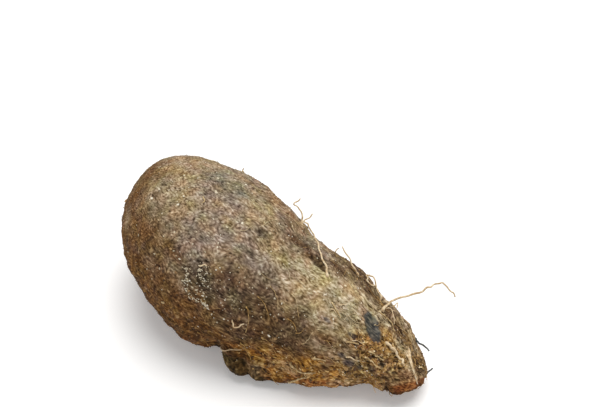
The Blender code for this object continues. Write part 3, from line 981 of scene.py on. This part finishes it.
GOLDEN_ROOTLETS = {
    "neck_whisker": (0.9, ((0.644, 315, 0), (0.636, 315, 2.8), (0.642, 314, 6))),
    "crown_strand": (1.1, (
        (0.888, 8, 0), (0.903, 14, 1.5), (0.918, 13, 1.8), (0.934, 18, 1.2), (0.944, 18, 1.4),
    )),
    "keel_strand": (1.4, ((0.678, 91, 0), (0.712, 96, 1.4), (0.748, 89, 1.4))),
    "keel_thread": (1.3, ((0.672, 119, 0), (0.7, 109, 1.5), (0.727, 100, 1.5))),
    "keel_hair": (1, ((0.735, 71, 0), (0.752, 70, 1.3), (0.768, 69, 1.3))),
    "neck_scrap": (1, ((0.799, 38, 0), (0.812, 35, 1.4), (0.825, 33, 1.6))),
    "neck_thread": (1.1, ((0.726, 14, 0), (0.744, 17, 1.4), (0.762, 21, 1.4))),
    "shoulder_hair": (1, ((0.289, 306, 0), (0.288, 307, 1.8), (0.283, 307, 3.3))),
    "top_hair": (1, ((0.3, 4, 0), (0.306, 5, 1.4), (0.313, 8, 2.6))),
    "front_hair": (1, ((0.3, 88, 0), (0.306, 87, 1.3), (0.313, 84, 2.4))),
    "blunt_end_hair": (1, ((0.006, 60, 0), (0.001, 62, 1.5), (-0.004, 66, 2.2))),
    "crown_thread": (1.3, ((0.858, 34, 0.5), (0.87, 33, 2), (0.881, 35, 1.7), (0.899, 35, 2))),
    "crown_twine": (1.1, ((0.854, 44, 0.5), (0.868, 43, 1.9), (0.876, 45, 1.6), (0.894, 47, 1.9))),
    "neck_cord": (1.1, (
        (0.824, 338, 0), (0.838, 337, 1.3), (0.853, 337, 1.3), (0.868, 338, 1.3), (0.884, 343, 1.2),
    )),
}
GREY_ROOTLETS = {
    "crown_stub": (1.4, (
        (0.926, 298, 0), (0.934, 299, 2.8), (0.946, 300, 5.1), (0.961, 300, 6.8), (0.976, 300, 7.5),
    )),
    "crown_tip_stub": (1.5, ((0.992, 248, 0), (0.993, 247, 5.6), (0.994, 245, 11.2))),
}

print(sum(map(len, (PALE_ROOTLETS, LYING_ROOTLETS, GOLDEN_ROOTLETS, GREY_ROOTLETS))), "rootlets")

# %% The crown's wedge, and the small rootlets
# The wedge on the crown is a bundle of strands. They are spread at its top and meet at its tip:
# places along its middle, with the spread in degrees at each
WEDGE_STRANDS = 9
WEDGE_THICKNESS = 0.7
WEDGE_TAPER = (0.5, 1.0, 1.0, 0.8, 0.5)
WEDGE_SUNK = 0.2 * MM
# Where it is wider than this many degrees, its strands start at slightly different stations
WEDGE_WIDE = 12
WEDGE_START = 0.004
WEDGE = (
    (0.928, 350, 0, 26), (0.94, 356, 1.3, 15), (0.958, 8, 1.5, 6), (0.979, 28, 1.2, 4),
    (0.9925, 68, 0.8, 2),
)

# The small rootlets follow the solid's own rule, with the same seed
SMALL_COUNT = 48
SMALL_SEED = 7
SMALL_THICKNESS = (1.0, 1.3)
SMALL_LENGTH = (0.007, 0.015)
SMALL_STATIONS = (0.30, 0.965)
SMALL_HEIGHTS = (0.0, 1.6, 2.6, 4.2)
SMALL_RISE = (0.6, 1.4)
# The small ones lie closer to the skin than the solid's rods
SMALL_LOWERED = 0.7
SMALL_SWAY = 60
ROOTS_KEEP_ABOVE = 0.008

skin_surface = BVHTree.FromObject(skin, bpy.context.evaluated_depsgraph_get())


def on_skin(station, angle, lift=0.0):
    """The point on the skin at a place, or lift above it."""
    middle = axis_point(station)
    hit = skin_surface.ray_cast(middle, outward(angle))[0]
    reach = (hit - middle).length if hit else 0.0
    point = middle + (reach + lift) * outward(angle)
    point.z = max(point.z, 0.0)
    return point


def small_rootlets():
    """A thickness and places for each small rootlet."""
    draw = random.Random(SMALL_SEED)
    first, last = SMALL_STATIONS
    steps = len(SMALL_HEIGHTS) - 1
    made = {}
    while len(made) < SMALL_COUNT:
        station = first + (last - first) * draw.random() ** 0.5
        angle = draw.uniform(0, 360)
        thickness = draw.uniform(*SMALL_THICKNESS)
        length = draw.uniform(*SMALL_LENGTH)
        heading = math.radians(draw.gauss(0, SMALL_SWAY))
        rise = draw.uniform(*SMALL_RISE)
        along = length * math.cos(heading) / LENGTH
        turn = math.degrees(length * math.sin(heading) / plain_radius(station))
        if on_skin(station, angle).z < ROOTS_KEEP_ABOVE:
            continue
        places = []
        for i in range(steps + 1):
            share = i / steps
            height = SMALL_LOWERED * rise * SMALL_HEIGHTS[i]
            places.append((station + along * share, angle + turn * share**2, height))
        made[f"small_rootlet_{len(made) + 1:02d}"] = (thickness, places)
    return made


print(on_skin(0.5, 0), "is the top of the belly")

# %% Rootlets as paths
ROOTLET_SUNK = 2.5 * MM
COLLAR_HEIGHT = 0.5 * MM
COLLAR_SHARE = 1.5
TIP_SHARE = 0.6
# The solid's rods are clear of its skin. The real ones lie on it, this many mm lower
SETTLE = 0.6
KINK = 0.35 * MM
KINK_SEED = 11
# Below this many mm over the skin the kinks get smaller
KINKS_ABOVE = 2
UNEVEN = (0.9, 1.12)
SMALL_THINNED = 0.38
PALE_THINNED = 0.92


def trace(places, thickness, draw, thinned=1.0, kinked=1.0, collar=COLLAR_SHARE):
    """Points and radii of a rootlet: sunk root, collar, then its places with small kinks."""
    radius = thinned * thickness * MM / 2
    station, angle, _ = places[0]
    points = [on_skin(station, angle, -ROOTLET_SUNK), on_skin(station, angle, COLLAR_HEIGHT)]
    radii = [radius * collar, radius * collar]
    steps = 2 * (len(places) - 1)
    for i in range(1, steps + 1):
        before, share = divmod(i, 2)
        here = places[before]
        after = places[min(before + 1, len(places) - 1)]
        station, angle, height = [a + (b - a) * share / 2 for a, b in zip(here, after)]
        lift = max(radius, (height - SETTLE) * MM)
        kink = Vector(draw.gauss(0, KINK) for _ in range(3)) * kinked
        points.append(on_skin(station, angle, lift) + kink * min(1.0, lift / MM / KINKS_ABOVE))
        radii.append(radius * (1 - (1 - TIP_SHARE) * i / steps) * draw.uniform(*UNEVEN))
    return points, radii


def trace_all(rootlets, draw, **settings):
    """Traces each rootlet of a list."""
    return [trace(places, thickness, draw, **settings) for thickness, places in rootlets.values()]


print("a small rootlet is", round(SMALL_THINNED * SMALL_THICKNESS[0], 2), "mm thick or more")


# %% Curves into meshes
def curves_to_mesh(name, traces, sides_step=1, smoothness=4):
    """One mesh of round tubes, each with closed ends, along smooth curves."""
    curve = bpy.data.curves.new(name, "CURVE")
    curve.dimensions = "3D"
    curve.bevel_depth = 1.0
    curve.bevel_resolution = sides_step
    curve.resolution_u = smoothness
    curve.use_fill_caps = True
    for points, radii in traces:
        spline = curve.splines.new("BEZIER")
        spline.bezier_points.add(len(points) - 1)
        for knot, point, radius in zip(spline.bezier_points, points, radii):
            knot.co = point
            knot.radius = radius
            knot.handle_left_type = "AUTO"
            knot.handle_right_type = "AUTO"
    obj = bpy.data.objects.new(name, curve)
    bpy.context.collection.objects.link(obj)
    bpy.ops.object.select_all(action="DESELECT")
    obj.select_set(True)
    bpy.context.view_layer.objects.active = obj
    bpy.ops.object.convert(target="MESH")
    bpy.ops.object.mode_set(mode="EDIT")
    bpy.ops.mesh.select_all(action="SELECT")
    bpy.ops.mesh.remove_doubles(threshold=0.001 * MM)
    bpy.ops.mesh.normals_make_consistent(inside=False)
    bpy.ops.object.mode_set(mode="OBJECT")
    obj.data.shade_smooth()
    write_points(obj.data, keep_in_box(read_points(obj.data)))
    return obj


def wedge_strands(draw):
    """Points and radii of the strands of the crown's wedge."""
    strands = []
    radii = [WEDGE_THICKNESS * MM / 2 * share for share in WEDGE_TAPER]
    for i in range(WEDGE_STRANDS):
        side = 2 * i / (WEDGE_STRANDS - 1) - 1
        late = draw.uniform(-WEDGE_START, WEDGE_START)
        path = []
        for station, angle, height, spread in WEDGE:
            start = station + late * (spread > WEDGE_WIDE)
            path.append(on_skin(start, angle + side * spread / 2, height * MM - WEDGE_SUNK))
        strands.append((path, radii))
    return strands


print("the wedge has", WEDGE_STRANDS, "strands,", WEDGE_THICKNESS, "mm thick")

# %% The rootlets' meshes
kinks = random.Random(KINK_SEED)
pale = trace_all(PALE_ROOTLETS, kinks, thinned=PALE_THINNED)
pale += trace_all(LYING_ROOTLETS, kinks, thinned=PALE_THINNED, kinked=1.2, collar=1.0)
pale += wedge_strands(kinks)
golden = trace_all(GOLDEN_ROOTLETS, kinks, kinked=1.3, collar=1.1)
grey = trace_all(GREY_ROOTLETS, kinks, kinked=0.3, collar=1.0)
small = trace_all(small_rootlets(), kinks, thinned=SMALL_THINNED)
pale_rootlets = curves_to_mesh("pale_rootlets", pale, sides_step=2, smoothness=5)
golden_rootlets = curves_to_mesh("golden_rootlets", golden)
grey_rootlets = curves_to_mesh("grey_rootlets", grey)
small_roots = curves_to_mesh("small_roots", small)
print(len(pale), "pale,", len(golden), "golden,", len(grey), "grey and", len(small), "small ones")

# %% [markdown]
# ## Fibres
#
# Towards the crown the bark frays. Fine fibres lie along the neck, and shorter, thicker strands
# make a tangle on the crown. They could be hair on the skin, but hair isn't kept when the tuber is
# saved as plain meshes. Here they are short curves that creep over the skin in a few steps and are
# turned into plain meshes, and each of them follows the relief below it. None grows where the cork
# is gone.

# %% Fibres on the neck
FIBRE_COUNT = 420
FIBRE_SEED = 5
FIBRE_THICKNESS = (0.22, 0.45)
FIBRE_LENGTH = (3 * MM, 9 * MM)
FIBRE_SWAY = 20
STRAND_COUNT = 230
STRAND_SEED = 8
STRAND_THICKNESS = (0.4, 0.95)
STRAND_LENGTH = (3 * MM, 10 * MM)
STRAND_SWAY = 55
FIBRE_STEPS = 4
FIBRE_CURL = 40
FIBRE_SUNK = 0.5 * MM
# A fibre lies this share of its radius over the skin, and is lifted by chance
FIBRE_REST = 0.4
FIBRE_LIFT = 0.25 * MM
FIBRE_TAPER = 0.12
# Fibres end before the scar, and a fibre that would lie on a bare place is left out
LAST_STATION = 0.985
END_STATION = 0.98
MOST_BARE = 0.25
LEAST_REACH = 8 * MM
# A little chance for a fibre off the neck, and how the chance grows with the wrinkles
FIBRES_ANYWHERE = 0.005
FIBRES_ON_NECK = 1.8
# Fibres lie where the skin faces up, by the height of its normal
FIBRE_SIDE = (-0.3, 0.3)

final_points = read_points(skin.data)
final_normals = read_points(skin.data, "normal")
skin_faces = skin.data.polygons


def pick_spots(count, weights, seed):
    """Indices of that many of the skin's points, drawn by weight."""
    draw = random.Random(seed)
    return draw.choices(range(len(weights)), weights=weights.tolist(), k=count), draw


def spots_under(places):
    """The index of a skin point close to each place."""
    faces = [skin_faces[skin_surface.find_nearest(Vector(place))[2]] for place in places]
    return [face.vertices[0] for face in faces]


def lay_fibres(count, weights, seed, thickness, lengths, sway):
    """Points and radii of fibres that creep over the skin from spots drawn by weight."""
    fibres = []
    spots, draw = pick_spots(count, weights, seed)
    for spot in spots:
        length = draw.uniform(*lengths)
        heading = math.radians(draw.gauss(0, sway))
        curl = math.radians(draw.gauss(0, FIBRE_CURL))
        radius = draw.uniform(*thickness) * MM / 2
        place = [station[spot], math.degrees(turn[spot])]
        path = []
        for i in range(FIBRE_STEPS + 1):
            lift = radius * FIBRE_REST + abs(draw.gauss(0, FIBRE_LIFT)) * (i > 0)
            path.append(on_skin(place[0], place[1], lift if i else -FIBRE_SUNK))
            step = length / FIBRE_STEPS
            place[0] = min(LAST_STATION, place[0] + step * math.cos(heading) / LENGTH)
            place[1] += math.degrees(step * math.sin(heading) / max(reach[spot], LEAST_REACH))
            heading += curl / FIBRE_STEPS
        if place[0] < END_STATION and max(closed[spots_under(path)]) < MOST_BARE:
            radii = [radius * (1 - FIBRE_TAPER * i) for i in range(FIBRE_STEPS + 1)]
            fibres.append((path, radii))
    return fibres


print("a fibre has", FIBRE_STEPS, "steps of", FIBRE_LENGTH[0] / MM / FIBRE_STEPS, "mm or more")

# %% The fibres grow
facing_up = ease(*FIBRE_SIDE, normals[:, 2])
weights = (FIBRES_ANYWHERE + neck**FIBRES_ON_NECK) * facing_up * (1 - slate) * (1 - scarred)
fine = (FIBRE_THICKNESS, FIBRE_LENGTH, FIBRE_SWAY)
fibres = lay_fibres(FIBRE_COUNT, weights, FIBRE_SEED, *fine)
weights = zones["tangle"] * facing_up * (1 - slate) * (1 - scarred)
thick = (STRAND_THICKNESS, STRAND_LENGTH, STRAND_SWAY)
strands = lay_fibres(STRAND_COUNT, weights, STRAND_SEED, *thick)
print(len(fibres), "fibres and", len(strands), "strands found room")

# %% The fibres' meshes
root_fibres = curves_to_mesh("root_fibres", fibres, sides_step=0, smoothness=2)
crown_strands = curves_to_mesh("crown_strands", strands, sides_step=0, smoothness=2)
# Soil and painted shade: the fibres and small rootlets take their darker second ramp on both
EARTHY_AND_SHADED = ("brown_and_shade", "painted_shade", "ochre", "toe", "tangle", "rufous")
earth_and_shade = np.clip(np.maximum.reduce([low] + [zones[name] for name in EARTHY_AND_SHADED]), 0, 1)
for piece in (root_fibres, crown_strands, small_roots):
    add_attribute(piece.data, "earth_and_shade", earth_and_shade[spots_under(read_points(piece.data))])
print("root_fibres has", len(root_fibres.data.polygons), "faces")

# %% [markdown]
# ## What stands on the skin
#
# Close up, yam skin is covered in the stubs of broken rootlets, lifted scales of cork, flakes of
# torn bark, grains of grit and crumbs of dried soil. They are what makes the outline of the tuber
# look rough. A scatter of instances would be lighter, but it isn't kept when the tuber is saved.
# So each kind is modelled once, in a few shapes of 40 faces or fewer, and copied over the skin. A
# copy takes its place and its direction from one of the skin's points, which are evenly spaced.

# %% Shapes to copy
SHAPES_EACH = 4
STUB_TIP = 0.45


def finished_shape(seed, uneven, lifted=0.0):
    """Moves the new shape's points by chance, lifts its +X edge, and takes it as plain rows."""
    obj = bpy.context.object
    bpy.ops.object.transform_apply(location=True)
    draw = random.Random(seed)
    for vert in obj.data.vertices:
        vert.co *= 1 + draw.uniform(-uneven, uneven)
        vert.co.z += lifted * max(0.0, vert.co.x)
    rows = read_points(obj.data)
    # A new ball's faces come in another order each time, so they are sorted
    faces = sorted(tuple(face.vertices) for face in obj.data.polygons)
    bpy.data.objects.remove(obj)
    return rows, faces


def stub_shape(seed):
    """The broken base of a rootlet: a tapered post with an uneven tip, one unit high."""
    standing = {"depth": 1, "location": (0, 0, 0.5)}
    bpy.ops.mesh.primitive_cone_add(vertices=5, radius1=1, radius2=STUB_TIP, **standing)
    return finished_shape(seed, uneven=0.18)


def scale_shape(seed):
    """A scale of cork: a flat uneven plate, two units long along X, with a lifted edge."""
    bpy.ops.mesh.primitive_cylinder_add(vertices=7, radius=1, depth=0.3)
    return finished_shape(seed, uneven=0.22, lifted=0.28)


def grain_shape(seed):
    """A grain of grit: an uneven lump, one unit in radius."""
    bpy.ops.mesh.primitive_ico_sphere_add(subdivisions=1, radius=1)
    return finished_shape(seed, uneven=0.25)


def crumb_shape(seed):
    """A crumb of soil: a craggy lump, one unit in radius."""
    bpy.ops.mesh.primitive_uv_sphere_add(segments=8, ring_count=5, radius=1)
    return finished_shape(seed, uneven=0.3)


for make in (stub_shape, scale_shape, grain_shape, crumb_shape):
    print(make.__name__, "has", len(make(0)[1]), "faces")

# %% Copies over the skin
TURN_SPREAD = 0.45
SIDE_SPREAD = (0.8, 1.25)
LEAST_TONE = 0.4
TONE_RANGE = 0.45


def copy_over(name, make, spots, draw, size, squash, lean, sink):
    """One mesh of copies of a few shapes. Each stands on a point of the skin, turned along it."""
    shapes = [make(seed) for seed in range(SHAPES_EACH)]
    all_rows, all_faces, tones, owners = [], [], [], []
    start = 0
    for spot in spots:
        rows, faces = draw.choice(shapes)
        up = Vector(final_normals[spot])
        up = (up + Vector(draw.gauss(0, lean) for _ in range(3))).normalized()
        ahead = Vector((1, 0, 0)) + Vector(draw.gauss(0, TURN_SPREAD) for _ in range(3))
        side = up.cross(ahead).normalized()
        ahead = side.cross(up)
        scale = draw.uniform(size[0] * MM, size[1] * MM) * np.array(squash)
        scale = scale * [draw.uniform(*SIDE_SPREAD) for _ in range(3)]
        turned = (rows * scale) @ np.array((ahead, side, up))
        all_rows.append(turned + final_points[spot] - np.array(up) * scale[2] * sink)
        all_faces += [tuple(start + i for i in face) for face in faces]
        tones += [draw.random()] * len(rows)
        owners += [spot] * len(rows)
        start += len(rows)
    mesh = bpy.data.meshes.new(name)
    mesh.from_pydata(keep_in_box(np.concatenate(all_rows)).tolist(), [], all_faces)
    tones = np.array(tones)
    add_attribute(mesh, "tone", tones)
    add_attribute(mesh, "cork", LEAST_TONE + TONE_RANGE * tones)
    for mask, values in masks.items():
        add_attribute(mesh, mask, values[owners])
    obj = bpy.data.objects.new(name, mesh)
    bpy.context.collection.objects.link(obj)
    print(name, "has", len(spots), "copies")
    return obj


print("on cork a copy's tone is from", LEAST_TONE, "to", round(LEAST_TONE + TONE_RANGE, 2))

# %% Where they stand
# White grit stands thick along the rims of the scab, and is strewn over a wider patch
SCAB_RIMS = (
    (0.356, 51, 1.1, 2.2), (0.359, 55, 1.1, 2.2), (0.364, 60, 1.1, 2.2), (0.371, 65, 1.2, 2),
    (0.385, 69, 2.2, 1.4), (0.407, 69, 1.8, 1.2), (0.427, 69, 2.2, 1.6), (0.391, 47, 1.6, 1.2),
    (0.4, 51, 1.4, 1.6), (0.41, 54, 1.6, 1.6), (0.402, 62, 1.6, 1.4),
)
SCAB_SCATTER = ((0.430, 56, 15.0, 11.0),)
# Pale flakes that show at these stations and angles, besides those that chance puts elsewhere
FLAKE_PLACES = (
    (0.326, 329), (0.345, 327), (0.391, 6), (0.425, 3), (0.403, 25), (0.408, 28), (0.449, 18),
    (0.279, 35), (0.245, 56), (0.287, 20), (0.5, 332), (0.649, 5), (0.698, 4), (0.612, 38),
    (0.744, 26), (0.744, 11), (0.755, 6),
)
# Copies start to stand at the first of these heights, and stand freely above the second
CLEAR_HEIGHTS = (1 * MM, 5 * MM)
# Grit falls on what faces up, by the height of the normal
FALLEN_SIDE = (-0.2, 0.6)
# Weights of the masks, which make a kind more or less likely there
GRIT_IN_TANGLE = 4
GRIT_IN_PAINTED_SHADE = 1.5
GRIT_STREWN = 0.05
BARK_IN_OCHRE = 0.4
BARK_ON_CROWN = 0.15
SOIL_BELOW = 0.3
SOIL_ON_CROWN = 0.25
SOIL_IN_TANGLE = 2.5
STUBS_LOST_ON_NECK = 0.6
STUBS_ABOVE = 0.4
SCALES_ON_BELLY = 0.35

above_floor = ease(*CLEAR_HEIGHTS, final_points[:, 2])
clear = (1 - slate) * above_floor
fallen = ease(*FALLEN_SIDE, normals[:, 2]) + GRIT_IN_TANGLE * zones["tangle"]
fallen += GRIT_IN_PAINTED_SHADE * zones["painted_shade"]
strewn = GRIT_STREWN * inside(SCAB_SCATTER, *SOFT_EDGE)
torn = zones["tangle"] + BARK_IN_OCHRE * zones["ochre"] + BARK_ON_CROWN * crown
muddy = SOIL_BELOW * low**2 + SOIL_ON_CROWN * crown + SOIL_IN_TANGLE * zones["tangle"]
muddy = muddy * (1 - zones["toe"]) * (1 - scarred)
lowered = STUBS_ABOVE + (1 - STUBS_ABOVE) * low
chances = {
    "rootlet_stubs": clear * (1 - STUBS_LOST_ON_NECK * neck) * lowered,
    "cork_scales": clear * (SCALES_ON_BELLY + neck) * (1 - zones["rust"]),
    "pale_grit": clear * fallen * (1 - scarred),
    "scab_grit": inside(SCAB_RIMS, *HOLE_EDGE) + GRIT_STREWN * zones["scab"] + strewn,
    "pale_flakes": clear * (1 - low) * (1 - neck),
    "bark_flakes": clear * (1 - scarred) * torn,
    "soil_crumbs": clear * muddy,
}
print(len(chances), "kinds of small pieces have their places")

# %% Stubs, scales, grit and soil
# Each kind has a shape, a seed, a count, sizes in mm, a squash of its three sides, how much it
# leans, and how deep it is sunk
KINDS = {
    "rootlet_stubs": (stub_shape, 21, 3200, (0.35, 0.85), (0.28, 0.28, 1), 0.5, 0.1),
    "cork_scales": (scale_shape, 22, 2600, (0.6, 1.25), (1, 0.45, 0.35), 0.12, 0),
    "pale_grit": (grain_shape, 23, 360, (0.22, 0.55), (1, 1, 0.8), 0.5, 0.2),
    "scab_grit": (grain_shape, 26, 160, (0.28, 0.65), (1.4, 0.8, 0.5), 0.4, 0.3),
    "pale_flakes": (scale_shape, 27, 45, (0.5, 1), (1.1, 0.7, 0.4), 0.15, 0),
    "bark_flakes": (scale_shape, 28, 260, (0.45, 1.05), (1.2, 0.6, 0.5), 0.35, 0),
    "soil_crumbs": (crumb_shape, 24, 900, (0.35, 1.3), (1, 1, 0.6), 0.4, 0.5),
}
copies = {}
for name, (make, seed, count, size, squash, lean, sink) in KINDS.items():
    spots, draw = pick_spots(count, chances[name], seed)
    if name == "pale_flakes":
        spots += spots_under([on_skin(*place) for place in FLAKE_PLACES])
    copies[name] = copy_over(name, make, spots, draw, size, squash, lean, sink)

# %% [markdown]
# ## The finish of the small pieces
#
# Dry root bark is matt too, but smoother than cork, so it has a little more shine. Each copy holds
# a tone from 0 to 1, which a ramp turns into its own tint, so that no two neighbours match. What
# lies on brown soil took up its colour, so the fibres and small rootlets have a second ramp there.
# The same darker ramp follows the skin's painted shade.
# The stubs and the scales are cork like the skin, so they share its finish.

# %% Dry root, grit and soil
# Where a ramp's colours lie, by what its shade follows: fine noise, or the tone of each copy
SHADES = {"noise": (0.3, 0.5, 0.7), "tone": (0.1, 0.5, 0.9)}
NOISE_SHARE = 0.3
# Real bark and stone have a finer speckle. It is drawn at 2 mm, so that it shows from this far
SPECKLE_SIZE = 2 * MM
SPECKLE_RISE = 0.12 * MM
# The dark flecks are rough old bark, and the pale ones are worn smoother
DARK_ROUGHNESS = 0.95
PALE_ROUGHNESS = 0.75


def make_tinted(name, source, codes, soiled_and_shaded=None):
    """A matt finish whose colour runs along a ramp, by each copy's tone or by fine noise."""
    material, tree, shader = new_material(name)
    place = add_node(tree, "TexCoord", out="Object")
    speckle = {"Vector": place, "Scale": 1 / SPECKLE_SIZE, "Detail": 3}
    specks = add_node(tree, "TexNoise", speckle)
    share = specks
    if source == "tone":
        tone = add_node(tree, "Attribute", out="Fac", attribute_name="tone")
        share = add_node(tree, "Mix", {FACTOR: NOISE_SHARE, NUMBER_A: tone, NUMBER_B: specks})
    colour = add_node(tree, "ValToRGB", {0: share}, (SHADES[source], codes))
    if soiled_and_shaded:
        earth_and_shade = add_node(tree, "Attribute", out="Fac", attribute_name="earth_and_shade")
        below = add_node(tree, "ValToRGB", {0: share}, (SHADES[source], soiled_and_shaded))
        mixed = {FACTOR: earth_and_shade, COLOUR_A: colour, COLOUR_B: below}
        colour = add_node(tree, "Mix", mixed, out=RESULT, data_type="RGBA")
    smoother = {0: share, 1: PALE_ROUGHNESS - DARK_ROUGHNESS, 2: DARK_ROUGHNESS}
    rough = add_node(tree, "Math", smoother, operation="MULTIPLY_ADD")
    rise = add_node(tree, "Bump", {"Height": specks, "Distance": SPECKLE_RISE})
    feed_shader(tree, shader, colour, rough, rise)
    return material


PALE_ROOT = ("#b8976b", "#dac19a", "#efdfc0")
GOLDEN_ROOT = ("#8a7048", "#bea171", "#e4d0a4")
GREY_ROOT = ("#2a2c2d", "#454948", "#6c706c")
STRAW = ("#94805a", "#bda984", "#e2d4b2")
GOLDEN = ("#6f4e22", "#a67d40", "#dcb874")
GRIT = ("#a8987a", "#d4c7aa", "#f3ebd9")
BARK = ("#8f6634", "#cda464", "#f2deb2")
SOIL = ("#2b1c0e", "#66482a", "#b08a58")
print("bark and grit are", DARK_ROUGHNESS, "rough where dark and", PALE_ROUGHNESS, "where pale")

# %% Each small piece and its finish
finishes = (
    # Washed and dried with its bark on: pale, with dull brown flecks
    (pale_rootlets, "dry_cream_root", "noise", PALE_ROOT),
    # Dried in the soil, which stained it: warm gold and uneven
    (golden_rootlets, "dry_golden_root", "noise", GOLDEN_ROOT),
    # Old and weathered: dark grey, nearly black on the floor's white
    (grey_rootlets, "dry_grey_root", "noise", GREY_ROOT),
    # Thin bark that dried to straw: dull yellow, and brown on soil and on the skin's painted shade
    (small_roots, "dry_straw_root", "noise", STRAW, GOLDEN),
    (root_fibres, "straw_fibre", "noise", STRAW, GOLDEN),
    # Torn from the vine's base: straw, with soil worked into it, and darker on the skin's painted
    # shade
    (crown_strands, "golden_strand", "noise", STRAW, GOLDEN),
    # Grains of sand and lime that stuck to damp skin: the palest points
    (copies["pale_grit"], "pale_grit_stone", "tone", GRIT),
    (copies["scab_grit"], "white_scab_grain", "tone", GRIT),
    # Cork that lifted and dried through: small cream glints
    (copies["pale_flakes"], "pale_cork_flake", "tone", GRIT),
    # Torn bark, fresh on one side: golden, from dull to bright
    (copies["bark_flakes"], "golden_bark_flake", "tone", BARK),
    # Soil that dried in lumps: dark brown with paler crumbs
    (copies["soil_crumbs"], "dried_soil", "tone", SOIL),
)
for piece, *finish in finishes:
    piece.data.materials.append(make_tinted(*finish))
# The stubs and the scales take the skin's colours where they stand
on_cork = [copies["rootlet_stubs"], copies["cork_scales"]]
for piece in on_cork:
    piece.data.materials.append(skin.data.materials[0])
small_pieces = [finish[0] for finish in finishes] + on_cork
for piece in small_pieces:
    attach(piece, "root")
print(len(small_pieces), "small pieces have their finish")

# %% [markdown]
# ## Sizes
#
# Nothing stands out of the solid's box: every piece was held inside it as it was made. A scene
# that uses the tuber places it by the solid's box, so nothing may stand out of that box. The box
# of all that is shown is found again below.

low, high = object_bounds()
